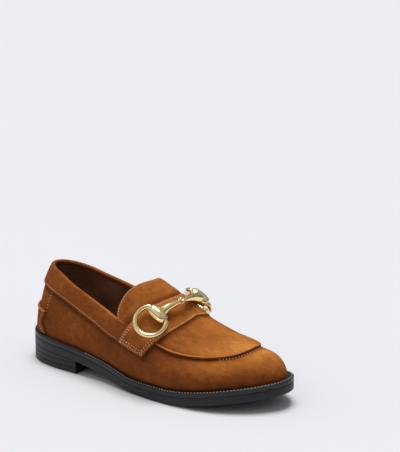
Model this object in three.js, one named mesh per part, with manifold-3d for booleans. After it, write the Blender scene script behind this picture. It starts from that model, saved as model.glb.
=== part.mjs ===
import * as THREE from 'three'
import { mergeVertices } from 'three/addons/utils/BufferGeometryUtils.js'
import Module from 'manifold-3d'

// A right bit loafer, in millimetres: +X runs from heel to toe, -Y is the outer side, +Z is up
// and the floor is z = 0. While it is built, x = 0 is the back of the sole.

// Sole unit
const soleLength = 270
const ballWidth = 98
const heelSeatHeight = 27.5
const outsoleThickness = 7.5
const weltThickness = 4.5
const toeSpring = 14
const heelLength = 69
const topLiftThickness = 10
const weltLedgeHeel = 3.2
const weltLedgeToe = 5.2
const weltInnerBand = 6
const soleEdgeBevel = 1.1
const ribPitch = 3.3
const ribDepth = 0.6
const ribStart = 0.44
const ribEnd = 0.94
const insoleRise = 1.8
const seatClearance = 0.3

// Upper and the pieces sewn onto it
const upperWall = 1.8
const instepHeight = 77.8
const collarHeight = 87.5
const lastBackOffset = 26
const lastToeOffset = 47
const crownOffset = 8
const overlayGap = 0.3
const collarBandThickness = 1.4
const backstayThickness = 1.5
const backstayLip = 1.1
const apronThickness = 1.3
const apronBead = 1.1
const strapThickness = 2
const tongueThickness = 2.6
const tongueReach = 16
const tongueRise = 8
const tongueDroopShare = 0.35
const tongueRoundness = 2.4

// Snaffle bit on the strap
const bitRingWire = 4.2
const bitRingDiameter = 27.4
const bitRingOffset = 8.6
const bitRingCorner = 2.2
const bitBarrelLength = 18
const bitBarrelDiameter = 11
const bitBoreClearance = 0.45
const bitShankDiameter = 9.4
const bitShankNeck = 4.6
const bitEyeWire = 2
const bitEyeDiameter = 7.2
const bitSeatGap = 0.5
const bitJointLift = 5.4
const bitBowShare = -0.2
const bitShankArch = 0.9
const bitHeadShare = 0.42
const bitJointShare = 0.4
const bitJointClimb = 0.92
const bitHeadClimb = { lateral: 0.64, medial: 0.7 }

// Barrel head from end to end: shares of its radius and of half its length
const barrelTable = [
  { out: 0, along: -1 },
  { out: 0.62, along: -1 },
  { out: 0.86, along: -0.72 },
  { out: 1, along: -0.25 },
  { out: 1, along: 0.25 },
  { out: 0.86, along: 0.72 },
  { out: 0.62, along: 1 },
  { out: 0, along: 1 },
]

// Outline of the sole: shares of the ball width on each side of the long axis, at shares of its
// length
const outlineTable = [
  { at: 0, lateral: 0, medial: 0 },
  { at: 0.03, lateral: 0.235, medial: 0.205 },
  { at: 0.08, lateral: 0.333, medial: 0.295 },
  { at: 0.15, lateral: 0.378, medial: 0.335 },
  { at: 0.25, lateral: 0.388, medial: 0.325 },
  { at: 0.37, lateral: 0.405, medial: 0.29 },
  { at: 0.5, lateral: 0.465, medial: 0.32 },
  { at: 0.62, lateral: 0.495, medial: 0.41 },
  { at: 0.72, lateral: 0.482, medial: 0.475 },
  { at: 0.82, lateral: 0.417, medial: 0.465 },
  { at: 0.91, lateral: 0.276, medial: 0.38 },
  { at: 0.97, lateral: 0.112, medial: 0.28 },
  { at: 1, lateral: -0.1, medial: 0.1 },
]

// Side profile of the seat: heel is the share of the heel's rise, toe the share of the toe spring
const seatTable = [
  { at: 0, heel: 1, toe: 0 },
  { at: 0.12, heel: 0.91, toe: 0 },
  { at: 0.25, heel: 0.75, toe: 0 },
  { at: 0.37, heel: 0.44, toe: 0 },
  { at: 0.5, heel: 0.04, toe: 0 },
  { at: 0.56, heel: 0, toe: 0 },
  { at: 0.66, heel: 0, toe: 0 },
  { at: 0.74, heel: 0, toe: 0.14 },
  { at: 0.85, heel: 0, toe: 0.5 },
  { at: 1, heel: 0, toe: 1 },
]

// Sections of the last: crown is the top as a share of the instep height, square is the power of
// the section's curve, swell the share of the ball width by which the wall stands out at its foot,
// and drift the share of the crown offset by which the crown leans to the inner side
const lastTable = [
  { at: 0, crown: 1.267, square: 1.8, swell: -0.006, drift: 0 },
  { at: 0.12, crown: 1.242, square: 1.83, swell: 0.005, drift: 0 },
  { at: 0.25, crown: 1.28, square: 1.85, swell: 0.02, drift: 0 },
  { at: 0.36, crown: 1.267, square: 2.2, swell: 0.036, drift: 0 },
  { at: 0.45, crown: 1.17, square: 2.4, swell: 0.048, drift: 0 },
  { at: 0.55, crown: 1, square: 2.6, swell: 0.048, drift: 0.8 },
  { at: 0.65, crown: 0.768, square: 2.68, swell: 0.038, drift: 1 },
  { at: 0.75, crown: 0.655, square: 2.6, swell: 0.03, drift: 0.75 },
  { at: 0.85, crown: 0.608, square: 2.5, swell: 0.019, drift: 0.65 },
  { at: 0.93, crown: 0.597, square: 2.7, swell: -0.003, drift: 0.75 },
  { at: 1, crown: 0.47, square: 2.7, swell: -0.012, drift: 0.88 },
]

// Top edge of the collar: height as a share of the collar height
const toplineTable = [
  { at: 0, height: 0.97 },
  { at: 0.06, height: 0.98 },
  { at: 0.14, height: 0.94 },
  { at: 0.22, height: 0.868 },
  { at: 0.3, height: 0.812 },
  { at: 0.38, height: 0.752 },
  { at: 0.46, height: 0.688 },
  { at: 0.52, height: 0.68 },
]

// Seams, by the turn round the shoe from the heel (0) to the toe (0.5): each is a share of the way
// from the sole to the crown
const seamTable = [
  { at: 0, collar: 0.445, apron: 0.6 },
  { at: 0.083, collar: 0.43, apron: 0.5 },
  { at: 0.127, collar: 0.388, apron: 0.45 },
  { at: 0.161, collar: 0.322, apron: 0.42 },
  { at: 0.19, collar: 0.255, apron: 0.4 },
  { at: 0.214, collar: 0.208, apron: 0.395 },
  { at: 0.24, collar: 0.203, apron: 0.39 },
  { at: 0.271, collar: 0.187, apron: 0.385 },
  { at: 0.304, collar: 0.19, apron: 0.43 },
  { at: 0.348, collar: 0.2, apron: 0.52 },
  { at: 0.383, collar: 0.2, apron: 0.611 },
  { at: 0.43, collar: 0.2, apron: 0.775 },
  { at: 0.479, collar: 0.2, apron: 0.865 },
  { at: 0.5, collar: 0.2, apron: 0.875 },
]

// Stations round the shoe where pieces end, as turns from the heel, and how far the strap leans
const backstayShare = 0.095
const throatShare = 0.2225
const strapRearShare = 0.235
const strapFrontShare = 0.271
const sweepShareRear = 0.052
const sweepShareFront = 0.053
const strapFootShare = 0.2
const wallReachPower = 0.83
const leanPower = 0.5
const beadClimbShare = 0.02
const columnsTo = [
  { turn: backstayShare, count: 4 },
  { turn: throatShare, count: 7 },
  { turn: strapRearShare, count: 1 },
  { turn: strapFrontShare, count: 3 },
  { turn: 0.5, count: 17 },
]

// Rows of the upper as shares of each stretch: sole to collar seam, on to topline or apron seam,
// on to the crown, whose first rows are the apron's bead. The backstay ends at a row of the first
// stretch.
const wallRows = [0, 0.18, 0.36, 0.54, 0.78, 1]
const bandRows = [0.5, 1]
const crownRows = [0, 0, 0.28, 0.58, 0.84, 1]
const backstayTopRow = 3
const beadRowCount = 2

// Facet counts
const plateRows = 40
const plateCross = 3
const plainWeltStep = 8
const shortestShare = 0.004
const tongueSteps = 5
const ringSteps = 36
const ringSides = 8
const bowSteps = 16
const eyeSteps = 16
const shankSteps = 5
const shankSides = 10
const barrelSides = 14
const boreSides = 12

const soleThickness = outsoleThickness + weltThickness
const collarRow = wallRows.length - 1
const edgeRow = collarRow + bandRows.length
const crownRow = edgeRow + crownRows.length

// Smooth curve through a table's column
function tableCurve(rows, column, keyOf = (at) => at) {
  const x = rows.map((row) => keyOf(row.at))
  const y = rows.map((row) => row[column])
  const last = x.length - 1
  const slope = y.map((_, i) => {
    const a = Math.max(i - 1, 0)
    const b = Math.min(i + 1, last)
    return (y[b] - y[a]) / (x[b] - x[a])
  })
  return (at) => {
    const v = Math.min(Math.max(keyOf(at), x[0]), x[last])
    let i = 0
    while (i < last - 1 && v > x[i + 1]) i++
    const h = x[i + 1] - x[i]
    const u = (v - x[i]) / h
    const rise = y[i + 1] - y[i]
    const bend = u * (1 - u) * ((1 - u) * (slope[i] * h - rise) - u * (slope[i + 1] * h - rise))
    return y[i] + u * rise + bend
  }
}

const turnOf = (share) => Math.acos(1 - 2 * share) / Math.PI
const shareOf = (turn) => (1 - Math.cos(2 * Math.PI * turn)) / 2
const outer = tableCurve(outlineTable, 'lateral', turnOf)
const inner = tableCurve(outlineTable, 'medial', turnOf)
const seatHeel = tableCurve(seatTable, 'heel')
const seatToe = tableCurve(seatTable, 'toe')
const crownShare = tableCurve(lastTable, 'crown')
const squareness = tableCurve(lastTable, 'square')
const swellShare = tableCurve(lastTable, 'swell')
const driftShare = tableCurve(lastTable, 'drift')
const toplineShare = tableCurve(toplineTable, 'height')
const collarSeam = tableCurve(seamTable, 'collar')
const apronSeam = tableCurve(seamTable, 'apron')

// Point of the sole's edge: turn 0 is the heel's back, 0.5 the toe, and the outer side comes first
function soleEdge(turn) {
  const t = ((turn % 1) + 1) % 1
  const share = shareOf(t)
  const side = t <= 0.5 ? -outer(share) : inner(share)
  return new THREE.Vector2(share * soleLength, side * ballWidth)
}

// Sole edge moved in by a distance
function insetEdge(turn, inset) {
  const step = 1e-4
  const along = soleEdge(turn + step).sub(soleEdge(turn - step)).normalize()
  return soleEdge(turn).sub(new THREE.Vector2(along.y, -along.x).multiplyScalar(inset))
}

function weltLedge(turn) {
  const toe = THREE.MathUtils.smoothstep(shareOf(turn), 0.25, 0.75)
  return THREE.MathUtils.lerp(weltLedgeHeel, weltLedgeToe, toe)
}

const feather = (turn, inset = 0) => insetEdge(turn, weltLedge(turn) + inset)
const seatAt = (x) => {
  const share = x / soleLength
  const rise = (heelSeatHeight - soleThickness) * seatHeel(share) + toeSpring * seatToe(share)
  return soleThickness + Math.max(0, rise)
}
const crownAt = (x) => instepHeight * crownShare(x / soleLength)
const toplineAt = (x) => collarHeight * toplineShare(x / soleLength)

const featherBack = feather(0).x
const featherToe = feather(0.5).x

// Point of the last's outer surface: climb 0 is the feather edge, 1 the crown line
function lastPoint(turn, climb) {
  const foot = feather(turn)
  const share = foot.x / soleLength
  const along = (foot.x - featherBack) / (featherToe - featherBack)
  const crownX = THREE.MathUtils.lerp(lastBackOffset, soleLength - lastToeOffset, along)
  const crown = new THREE.Vector2(crownX, crownOffset * driftShare(crownX / soleLength))
  const power = 2 / squareness(share)
  const angle = (climb * Math.PI) / 2
  const inward = 1 - Math.max(Math.cos(angle), 1e-9) ** power
  const upward = Math.sin(angle) ** power
  const swell = ballWidth * swellShare(share) * Math.sin(Math.PI * upward ** 0.8)
  const out = foot.clone().sub(crown).normalize()
  const place = foot.clone().lerp(crown, inward).addScaledVector(out, swell)
  const seat = seatAt(foot.x) + seatClearance
  return new THREE.Vector3(place.x, place.y, seat + (crownAt(place.x) - seat) * upward)
}

// How far the wall has come in at a climb, as a share of the way to the crown
const wallReach = (climb) => 1 - Math.max(Math.cos((climb * Math.PI) / 2), 0) ** wallReachPower

// Share of the lean: it grows from the strap's foot as the wall comes in, evenly over the crown
function leanShare(climb) {
  const foot = wallReach(strapFootShare) ** leanPower
  return Math.max(0, wallReach(climb) ** leanPower - foot) / (1 - foot)
}

// Turn of a column at a climb: the columns lean forward with the strap's edges
function leaningTurn(turn, climb) {
  const half = Math.min(turn, 1 - turn)
  const rising = THREE.MathUtils.smoothstep(half, backstayShare, strapRearShare)
  const falling = 1 - THREE.MathUtils.smoothstep(half, strapFrontShare, 0.5)
  const fore = THREE.MathUtils.smoothstep(half, strapRearShare, strapFrontShare)
  const sweep = THREE.MathUtils.lerp(sweepShareRear, sweepShareFront, fore)
  const lean = rising * falling * sweep * leanShare(climb)
  return turn <= 0.5 ? turn + lean : turn - lean
}

const skinPoint = (turn, climb) => lastPoint(leaningTurn(turn, climb), climb)

// Climb at which the column meets the topline
function toplineClimb(turn) {
  let low = 0
  let high = 1
  for (let i = 0; i < 40; i++) {
    const middle = (low + high) / 2
    const point = skinPoint(turn, middle)
    if (point.z < toplineAt(point.x)) low = middle
    else high = middle
  }
  return low
}

const throatStep = { lateral: 0, medial: 0 }
throatStep.lateral = toplineClimb(throatShare) - apronSeam(throatShare)
throatStep.medial = toplineClimb(1 - throatShare) - apronSeam(throatShare)

// Climb of the row that is the topline behind the throat and the apron's seam ahead of it
function edgeClimb(turn) {
  const half = Math.min(turn, 1 - turn)
  if (half < throatShare) return toplineClimb(turn)
  const step = turn <= 0.5 ? throatStep.lateral : throatStep.medial
  return apronSeam(half) + step * (1 - THREE.MathUtils.smoothstep(half, throatShare, strapFrontShare))
}

function rowClimb(turn, row) {
  const half = Math.min(turn, 1 - turn)
  const seam = collarSeam(half)
  if (row <= collarRow) return seam * wallRows[row]
  const edge = edgeClimb(turn)
  if (row <= edgeRow) return THREE.MathUtils.lerp(seam, edge, bandRows[row - collarRow - 1])
  const bead = edge + beadClimbShare * Math.min(row - edgeRow, beadRowCount)
  return THREE.MathUtils.lerp(bead, 1, crownRows[row - edgeRow - 1])
}

// Columns from heel to toe, then back along the inner side
const halfTurns = [0]
for (const { turn, count } of columnsTo) {
  const start = halfTurns[halfTurns.length - 1]
  for (let i = 1; i <= count; i++) halfTurns.push(start + ((turn - start) * i) / count)
}
const toeColumn = halfTurns.length - 1
const columnCount = 2 * toeColumn
const columnAt = (turn) => halfTurns.findIndex((value) => Math.abs(value - turn) < 1e-9)
const backstayColumn = columnAt(backstayShare)
const throatColumn = columnAt(throatShare)
const strapRearColumn = columnAt(strapRearShare)
const strapFrontColumn = columnAt(strapFrontShare)
const halfColumn = (column) => Math.min(column, columnCount - column)
const columnTurn = (column) =>
  column <= toeColumn ? halfTurns[column] : 1 - halfTurns[columnCount - column]

// Vertex number of a column and row: the two sides share the crown line
function skinIndex(column, row) {
  const c = (column + columnCount) % columnCount
  const at = row === crownRow ? halfColumn(c) : c
  return at * (crownRow + 1) + row
}

const skinPoints = []
for (let column = 0; column < columnCount; column++) {
  for (let row = 0; row <= crownRow; row++) {
    const turn = columnTurn(column)
    const point = skinPoint(turn, rowClimb(turn, row))
    if (row === crownRow) point.add(skinPoint(1 - turn, 1)).multiplyScalar(0.5)
    skinPoints.push(point)
  }
}

// True for a triangle with three different corners
const isOpen = ([a, b, c]) => a !== b && b !== c && a !== c

// Faces of the cells for which keep(halfColumn, row) holds
function skinFaces(keep) {
  const faces = []
  for (let column = 0; column < columnCount; column++) {
    const cell = column < toeColumn ? column : columnCount - 1 - column
    for (let row = 0; row < crownRow; row++) {
      if (!keep(cell, row)) continue
      const a = skinIndex(column, row)
      const b = skinIndex(column + 1, row)
      const c = skinIndex(column + 1, row + 1)
      const d = skinIndex(column, row + 1)
      faces.push([a, b, c], [a, c, d])
    }
  }
  return faces.filter(isOpen)
}

function vertexNormals(points, faces) {
  const normals = points.map(() => new THREE.Vector3())
  for (const face of faces) {
    const [a, b, c] = face.map((i) => points[i])
    const normal = b.clone().sub(a).cross(c.clone().sub(a))
    for (const i of face) normals[i].add(normal)
  }
  return normals.map((normal) => normal.normalize())
}

// Edges that belong to one face only, as pairs of vertex numbers in the face's order
function rimEdges(faces) {
  const edges = new Set(faces.flatMap(([a, b, c]) => [`${a},${b}`, `${b},${c}`, `${c},${a}`]))
  const pairs = [...edges].map((edge) => edge.split(',').map(Number))
  return pairs.filter(([a, b]) => !edges.has(`${b},${a}`))
}

// Closed body between a front and a back surface with the same faces; levels are the rings of
// points between the two, given by vertex number
function shellGeometry(front, back, faces, levels = []) {
  const used = [...new Set(faces.flat())]
  const positions = []
  const surfaces = [front, ...levels, back].map((surface, level, all) => {
    const places = new Map()
    for (const i of used) {
      if (level > 0 && level < all.length - 1 && !surface[i]) continue
      places.set(i, positions.length / 3)
      positions.push(...surface[i].toArray())
    }
    return places
  })
  const triangles = []
  for (const [a, b, c] of faces) {
    triangles.push(...[a, b, c].map((i) => surfaces[0].get(i)))
    triangles.push(...[a, c, b].map((i) => surfaces[surfaces.length - 1].get(i)))
  }
  for (const [a, b] of rimEdges(faces)) {
    for (let level = 0; level + 1 < surfaces.length; level++) {
      const [upper, lower] = [surfaces[level], surfaces[level + 1]]
      triangles.push(upper.get(b), upper.get(a), lower.get(a))
      triangles.push(upper.get(b), lower.get(a), lower.get(b))
    }
  }
  const geometry = new THREE.BufferGeometry()
  geometry.setAttribute('position', new THREE.Float32BufferAttribute(positions, 3))
  geometry.setIndex(triangles)
  return geometry
}

// Points moved along their normals by a distance that may change from vertex to vertex
const offsetPoints = (points, normals, distanceAt) =>
  points.map((point, i) => point.clone().addScaledVector(normals[i], distanceAt(i)))

const isUpperCell = (cell, row) => row < edgeRow || cell >= throatColumn
const upperFaces = skinFaces(isUpperCell)
const skinNormals = vertexNormals(skinPoints, upperFaces)
const rowOfIndex = (i) => i % (crownRow + 1)

function upperGeometry() {
  const lining = skinPoints.map((point, i) => {
    const normal = skinNormals[i]
    if (rowOfIndex(i) > 0) return point.clone().addScaledVector(normal, -upperWall)
    const level = new THREE.Vector3(normal.x, normal.y, 0).normalize()
    return point.clone().addScaledVector(level, -upperWall)
  })
  return shellGeometry(skinPoints, lining, upperFaces)
}

// Piece sewn onto the upper over some cells, with its own thickness at each row. Its rim is drawn
// in by half a gap, so that neighbours stand clear of each other.
function overlayGeometry(keep, thicknessAt) {
  const faces = skinFaces(keep)
  const kept = vertexNormals(skinPoints, faces)
  const points = skinPoints.map((point) => point.clone())
  const inward = new Map()
  for (const [a, b] of rimEdges(faces)) {
    const along = skinPoints[b].clone().sub(skinPoints[a]).normalize()
    for (const i of [a, b]) {
      const sum = inward.get(i) ?? new THREE.Vector3()
      inward.set(i, sum.add(kept[i].clone().cross(along).normalize()))
    }
  }
  for (const [i, direction] of inward) points[i].addScaledVector(direction.normalize(), overlayGap / 2)
  const thickness = (i) => overlayGap + thicknessAt(rowOfIndex(i))
  const outside = offsetPoints(points, skinNormals, thickness)
  const inside = offsetPoints(points, skinNormals, () => overlayGap)
  return shellGeometry(outside, inside, faces)
}

// Points joined where they coincide, with the faces renumbered and the emptied ones left out
function joinPoints(points, faces) {
  const numbers = new Map()
  const unique = []
  const joinedTo = points.map((point) => {
    const key = point.toArray().map((v) => v.toFixed(3)).join()
    if (!numbers.has(key)) numbers.set(key, unique.push(point) - 1)
    return numbers.get(key)
  })
  const renumbered = faces.map((face) => face.map((i) => joinedTo[i]))
  return { unique, joinedTo, faces: renumbered.filter(isOpen) }
}

// Vertex numbers across the upper's top in one column, from the outer side to the inner one
function rowAcross(column) {
  const rows = Array.from({ length: crownRow - edgeRow + 1 }, (_, k) => edgeRow + k)
  const outerHalf = rows.map((row) => skinIndex(column, row))
  const innerHalf = rows.slice(0, -1).reverse().map((row) => skinIndex(columnCount - column, row))
  return [...outerHalf, ...innerHalf]
}

// Tongue: it starts at the strap's rear edge, lies on the throat and runs back as a rounded flap
function tongueGeometry() {
  const onSkin = [...rowAcross(strapRearColumn), ...rowAcross(throatColumn)]
  const width = onSkin.length / 2
  const root = onSkin.slice(width).map((i) => skinPoints[i])
  const middle = (root[0].y + root[width - 1].y) / 2
  const halfWidth = Math.abs(root[0].y - middle)
  const points = onSkin.map((i) => skinPoints[i])
  for (let step = 1; step <= tongueSteps; step++) {
    for (const base of root) {
      const side = Math.min(1, Math.abs(base.y - middle) / halfWidth)
      const reached = (Math.sqrt(1 - side ** tongueRoundness) * step) / tongueSteps
      const rise = tongueRise * reached * (1 - tongueDroopShare * reached)
      points.push(new THREE.Vector3(base.x - tongueReach * reached, base.y, base.z + rise))
    }
  }
  const faces = []
  for (let step = 0; step <= tongueSteps; step++) {
    for (let k = 0; k + 1 < width; k++) {
      const a = step * width + k
      faces.push([a, a + 1, a + 1 + width], [a, a + 1 + width, a + width])
    }
  }
  const body = joinPoints(points, faces)
  const normals = vertexNormals(body.unique, body.faces)
  onSkin.forEach((skin, i) => normals[body.joinedTo[i]].copy(skinNormals[skin]))
  const outside = offsetPoints(body.unique, normals, () => overlayGap + tongueThickness)
  const inside = offsetPoints(body.unique, normals, () => overlayGap)
  return shellGeometry(outside, inside, body.faces)
}

// Plate between its levels' outlines, in rows across the shoe from heel to toe
function plateGeometry(turns, levels) {
  const indexOf = (row, k) => row * (plateCross + 1) + k
  const closedAt = (row) => turns[row] === 0 || turns[row] === 0.5
  const pointsOf = ({ inset, height }) => {
    const points = []
    for (const turn of turns) {
      const left = inset(turn)
      const right = inset(1 - turn)
      for (let k = 0; k <= plateCross; k++) {
        const place = left.clone().lerp(right, k / plateCross)
        points.push(new THREE.Vector3(place.x, place.y, height(place.x)))
      }
    }
    return points
  }
  const shared = (row, k) => indexOf(row, closedAt(row) ? 0 : k)
  const faces = []
  for (let row = 0; row + 1 < turns.length; row++) {
    for (let k = 0; k < plateCross; k++) {
      const a = shared(row, k)
      const b = shared(row + 1, k)
      const c = shared(row + 1, k + 1)
      const d = shared(row, k + 1)
      faces.push([a, b, c], [a, c, d])
    }
  }
  const [first, ...others] = levels.map(pointsOf)
  return shellGeometry(first, others.pop(), faces.filter(isOpen), others)
}

const evenTurns = Array.from({ length: plateRows + 1 }, (_, i) => (0.5 * i) / plateRows)
const edgeInset = (inset) => (turn) => insetEdge(turn, inset)
const groundAt = (x) => seatAt(x) - soleThickness

function outsoleGeometry() {
  const top = (x) => groundAt(x) + outsoleThickness
  return plateGeometry(evenTurns, [
    { inset: edgeInset(soleEdgeBevel / 2), height: top },
    { inset: edgeInset(0), height: (x) => top(x) - soleEdgeBevel / 2 },
    { inset: edgeInset(0), height: (x) => groundAt(x) + soleEdgeBevel },
    { inset: edgeInset(soleEdgeBevel), height: groundAt },
  ])
}

function insoleGeometry() {
  const overWall = (turn) => feather(turn, upperWall + 2 * seatClearance)
  const insideWelt = (turn) => feather(turn, weltInnerBand + seatClearance)
  return plateGeometry(evenTurns, [
    { inset: overWall, height: (x) => seatAt(x) + insoleRise },
    { inset: overWall, height: (x) => seatAt(x) + seatClearance },
    { inset: insideWelt, height: (x) => seatAt(x) + seatClearance },
    { inset: insideWelt, height: (x) => seatAt(x) - weltThickness + seatClearance * 1.5 },
  ])
}

// Turns from the heel's back to the breast, where the last row crosses the shoe
function heelTurns(length) {
  const breast = turnOf(length / soleLength) / 2
  return [...evenTurns.filter((turn) => turn < breast - shortestShare), breast]
}

const heelEdge = (inset, length) => (turn) => {
  const place = insetEdge(turn, inset)
  place.x = Math.min(place.x, length - inset)
  return place
}

function heelBlockGeometry() {
  const top = (x) => groundAt(x) - seatClearance
  const bottom = () => topLiftThickness + seatClearance
  return plateGeometry(heelTurns(heelLength), [
    { inset: heelEdge(0, heelLength), height: top },
    { inset: heelEdge(0, heelLength), height: bottom },
  ])
}

function topLiftGeometry() {
  const level = (z) => () => z
  return plateGeometry(heelTurns(heelLength), [
    { inset: heelEdge(0, heelLength), height: level(topLiftThickness) },
    { inset: heelEdge(0, heelLength), height: level(soleEdgeBevel) },
    { inset: heelEdge(soleEdgeBevel, heelLength), height: level(0) },
  ])
}

// Turns of the welt's columns, with 1 for those that lie in a groove between two ribs
function weltTurns() {
  const turns = []
  const ribs = []
  let turn = 0
  let ribbed = 0
  while (turn < 0.5) {
    turns.push(turn)
    ribs.push(ribbed % 2)
    const share = shareOf(turn)
    const inRibs = share > ribStart && share < ribEnd
    const speed = soleEdge(turn + 1e-4).distanceTo(soleEdge(turn)) / 1e-4
    ribbed = inRibs ? ribbed + 1 : 0
    turn += (inRibs ? ribPitch / 2 : plainWeltStep) / speed
  }
  if (0.5 - turns[turns.length - 1] < shortestShare) {
    turns.pop()
    ribs.pop()
  }
  const back = turns.slice(1).reverse().map((value) => 1 - value)
  return { turns: [...turns, 0.5, ...back], ribs: [...ribs, 0, ...ribs.slice(1).reverse()] }
}

// Welt: a band all round, ribbed on the side of its forefoot
function weltGeometry() {
  const { turns, ribs } = weltTurns()
  const count = turns.length
  const shoulder = (x) => seatAt(x) - ribDepth
  const bottom = (x) => seatAt(x) - weltThickness + seatClearance
  const ring = (edge, height) => turns.map((turn, i) => {
    const place = edge(turn, i)
    return new THREE.Vector3(place.x, place.y, height(place.x))
  })
  const inside = (turn) => feather(turn, weltInnerBand)
  const ribbed = (turn, i) => insetEdge(turn, ribs[i] * ribDepth)
  const bevelled = edgeInset(ribDepth)
  const surface = (edge, height) => [...ring(edge, height), ...ring(inside, height)]
  const faces = []
  for (let i = 0; i < count; i++) {
    const j = (i + 1) % count
    faces.push([i, j, j + count], [i, j + count, i + count])
  }
  const side = surface(ribbed, shoulder)
  return shellGeometry(surface(bevelled, seatAt), surface(ribbed, bottom), faces, [side])
}

// Ring with a straight bar along u through the point given, and a round bow towards v
function ringGeometry(centre, u, v) {
  const points = []
  const put = (a, b) => points.push(centre.clone().addScaledVector(u, a).addScaledVector(v, b))
  const straight = bitBarrelLength / 2 + bitRingCorner / 3
  for (const share of [-1, -0.5, 0, 0.5, 1]) put(share * straight, 0)
  const radius = bitRingDiameter / 2
  const start = Math.acos((bitRingOffset - bitRingCorner) / radius)
  for (let i = 0; i <= bowSteps; i++) {
    const angle = THREE.MathUtils.lerp(start, 2 * Math.PI - start, i / bowSteps)
    put(radius * Math.sin(angle), bitRingOffset - radius * Math.cos(angle))
  }
  const curve = new THREE.CatmullRomCurve3(points, true)
  return sweptRing(curve, bitRingWire / 2, ringSteps, ringSides, u.clone().cross(v).normalize())
}

// Round wire along a flat closed curve, the plane's normal given
function sweptRing(curve, radius, steps, sides, normal) {
  const positions = []
  const index = []
  for (let i = 0; i < steps; i++) {
    const point = curve.getPointAt(i / steps)
    const across = curve.getTangentAt(i / steps).cross(normal).normalize()
    for (let k = 0; k < sides; k++) {
      const angle = (2 * Math.PI * k) / sides
      const place = point.clone().addScaledVector(across, Math.cos(angle) * radius)
      positions.push(...place.addScaledVector(normal, Math.sin(angle) * radius).toArray())
      const a = i * sides + k
      const b = i * sides + ((k + 1) % sides)
      const c = (a + sides) % (steps * sides)
      const d = (b + sides) % (steps * sides)
      index.push(a, d, b, a, c, d)
    }
  }
  const geometry = new THREE.BufferGeometry()
  geometry.setAttribute('position', new THREE.Float32BufferAttribute(positions, 3))
  geometry.setIndex(index)
  return geometry
}

const wasm = await Module()
wasm.setup()

function toSolid(source) {
  const geometry = source.clone()
  geometry.deleteAttribute('normal')
  geometry.deleteAttribute('uv')
  const merged = mergeVertices(geometry, 1e-4)
  return new wasm.Manifold(new wasm.Mesh({
    numProp: 3,
    vertProperties: merged.attributes.position.array,
    triVerts: new Uint32Array(merged.index.array),
  }))
}

function fromSolid(solid) {
  const mesh = solid.getMesh()
  const geometry = new THREE.BufferGeometry()
  geometry.setAttribute('position', new THREE.BufferAttribute(new Float32Array(mesh.vertProperties), 3))
  geometry.setIndex(new THREE.BufferAttribute(new Uint32Array(mesh.triVerts), 1))
  return geometry
}

// Places a geometry that is modelled along +Y so that +Y lies along a direction
function alongAxis(geometry, centre, direction) {
  const turn = new THREE.Quaternion().setFromUnitVectors(new THREE.Vector3(0, 1, 0), direction)
  return geometry.applyQuaternion(turn).translate(centre.x, centre.y, centre.z)
}

// Bar along an open curve, round in section, from one radius to another
function taperedBar(curve, startRadius, endRadius) {
  const steps = shankSteps
  const sides = shankSides
  const positions = []
  const index = []
  const across = new THREE.Vector3(1, 0, 0)
  for (let i = 0; i <= steps; i++) {
    const centre = curve.getPoint(i / steps)
    const tangent = curve.getTangent(i / steps)
    const first = across.clone().addScaledVector(tangent, -across.dot(tangent)).normalize()
    const second = tangent.clone().cross(first)
    const radius = THREE.MathUtils.lerp(startRadius, endRadius, i / steps)
    for (let k = 0; k < sides; k++) {
      const angle = (2 * Math.PI * k) / sides
      const place = centre.clone().addScaledVector(first, Math.cos(angle) * radius)
      positions.push(...place.addScaledVector(second, Math.sin(angle) * radius).toArray())
      if (i === steps) continue
      const a = i * sides + k
      const b = i * sides + ((k + 1) % sides)
      index.push(a, b, b + sides, a, b + sides, a + sides)
    }
  }
  const end = steps * sides
  for (let k = 1; k + 1 < sides; k++) index.push(0, k + 1, k, end, end + k, end + k + 1)
  const geometry = new THREE.BufferGeometry()
  geometry.setAttribute('position', new THREE.Float32BufferAttribute(positions, 3))
  geometry.setIndex(index)
  return geometry
}

// Half of the mouthpiece: a bored barrel head, a tapered shank and an eye at the middle. It is
// given by the head's centre and bar, the eye's centre and plane, and the way the shank arches.
function linkGeometry({ head, bar, eye, eyeNormal, arch }) {
  const radius = bitBarrelDiameter / 2
  const halfLength = bitBarrelLength / 2
  const profile = barrelTable.map(({ out, along }) => new THREE.Vector2(out * radius, along * halfLength))
  const barrel = toSolid(alongAxis(new THREE.LatheGeometry(profile, barrelSides), head, bar))
  const boreRadius = bitRingWire / 2 + bitBoreClearance
  const drill = new THREE.CylinderGeometry(boreRadius, boreRadius, 2 * bitBarrelLength, boreSides)
  const towards = eye.clone().sub(head)
  const distance = towards.length()
  towards.normalize()
  const eyeRadius = (bitEyeDiameter - bitEyeWire) / 2
  const spot = (along, lift) => head.clone().addScaledVector(towards, along).addScaledVector(arch, lift)
  const shankStart = (boreRadius + radius) / 2
  const shankEnd = distance - eyeRadius
  const spine = new THREE.QuadraticBezierCurve3(
    spot(shankStart, 0),
    spot((shankStart + shankEnd) / 2, 2 * bitShankArch),
    spot(shankEnd, 0),
  )
  const shank = toSolid(taperedBar(spine, bitShankDiameter / 2, bitShankNeck / 2))
  const side = eyeNormal.clone().cross(towards)
  const eyePoints = Array.from({ length: 12 }, (_, i) => {
    const angle = (Math.PI * i) / 6
    const across = eye.clone().addScaledVector(side, Math.sin(angle) * eyeRadius)
    return across.addScaledVector(towards, Math.cos(angle) * eyeRadius)
  })
  const eyeCurve = new THREE.CatmullRomCurve3(eyePoints, true)
  const eyeSolid = toSolid(sweptRing(eyeCurve, bitEyeWire / 2, eyeSteps, ringSides, eyeNormal))
  return fromSolid(barrel.add(shank).add(eyeSolid).subtract(toSolid(alongAxis(drill, head, bar))))
}

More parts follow.
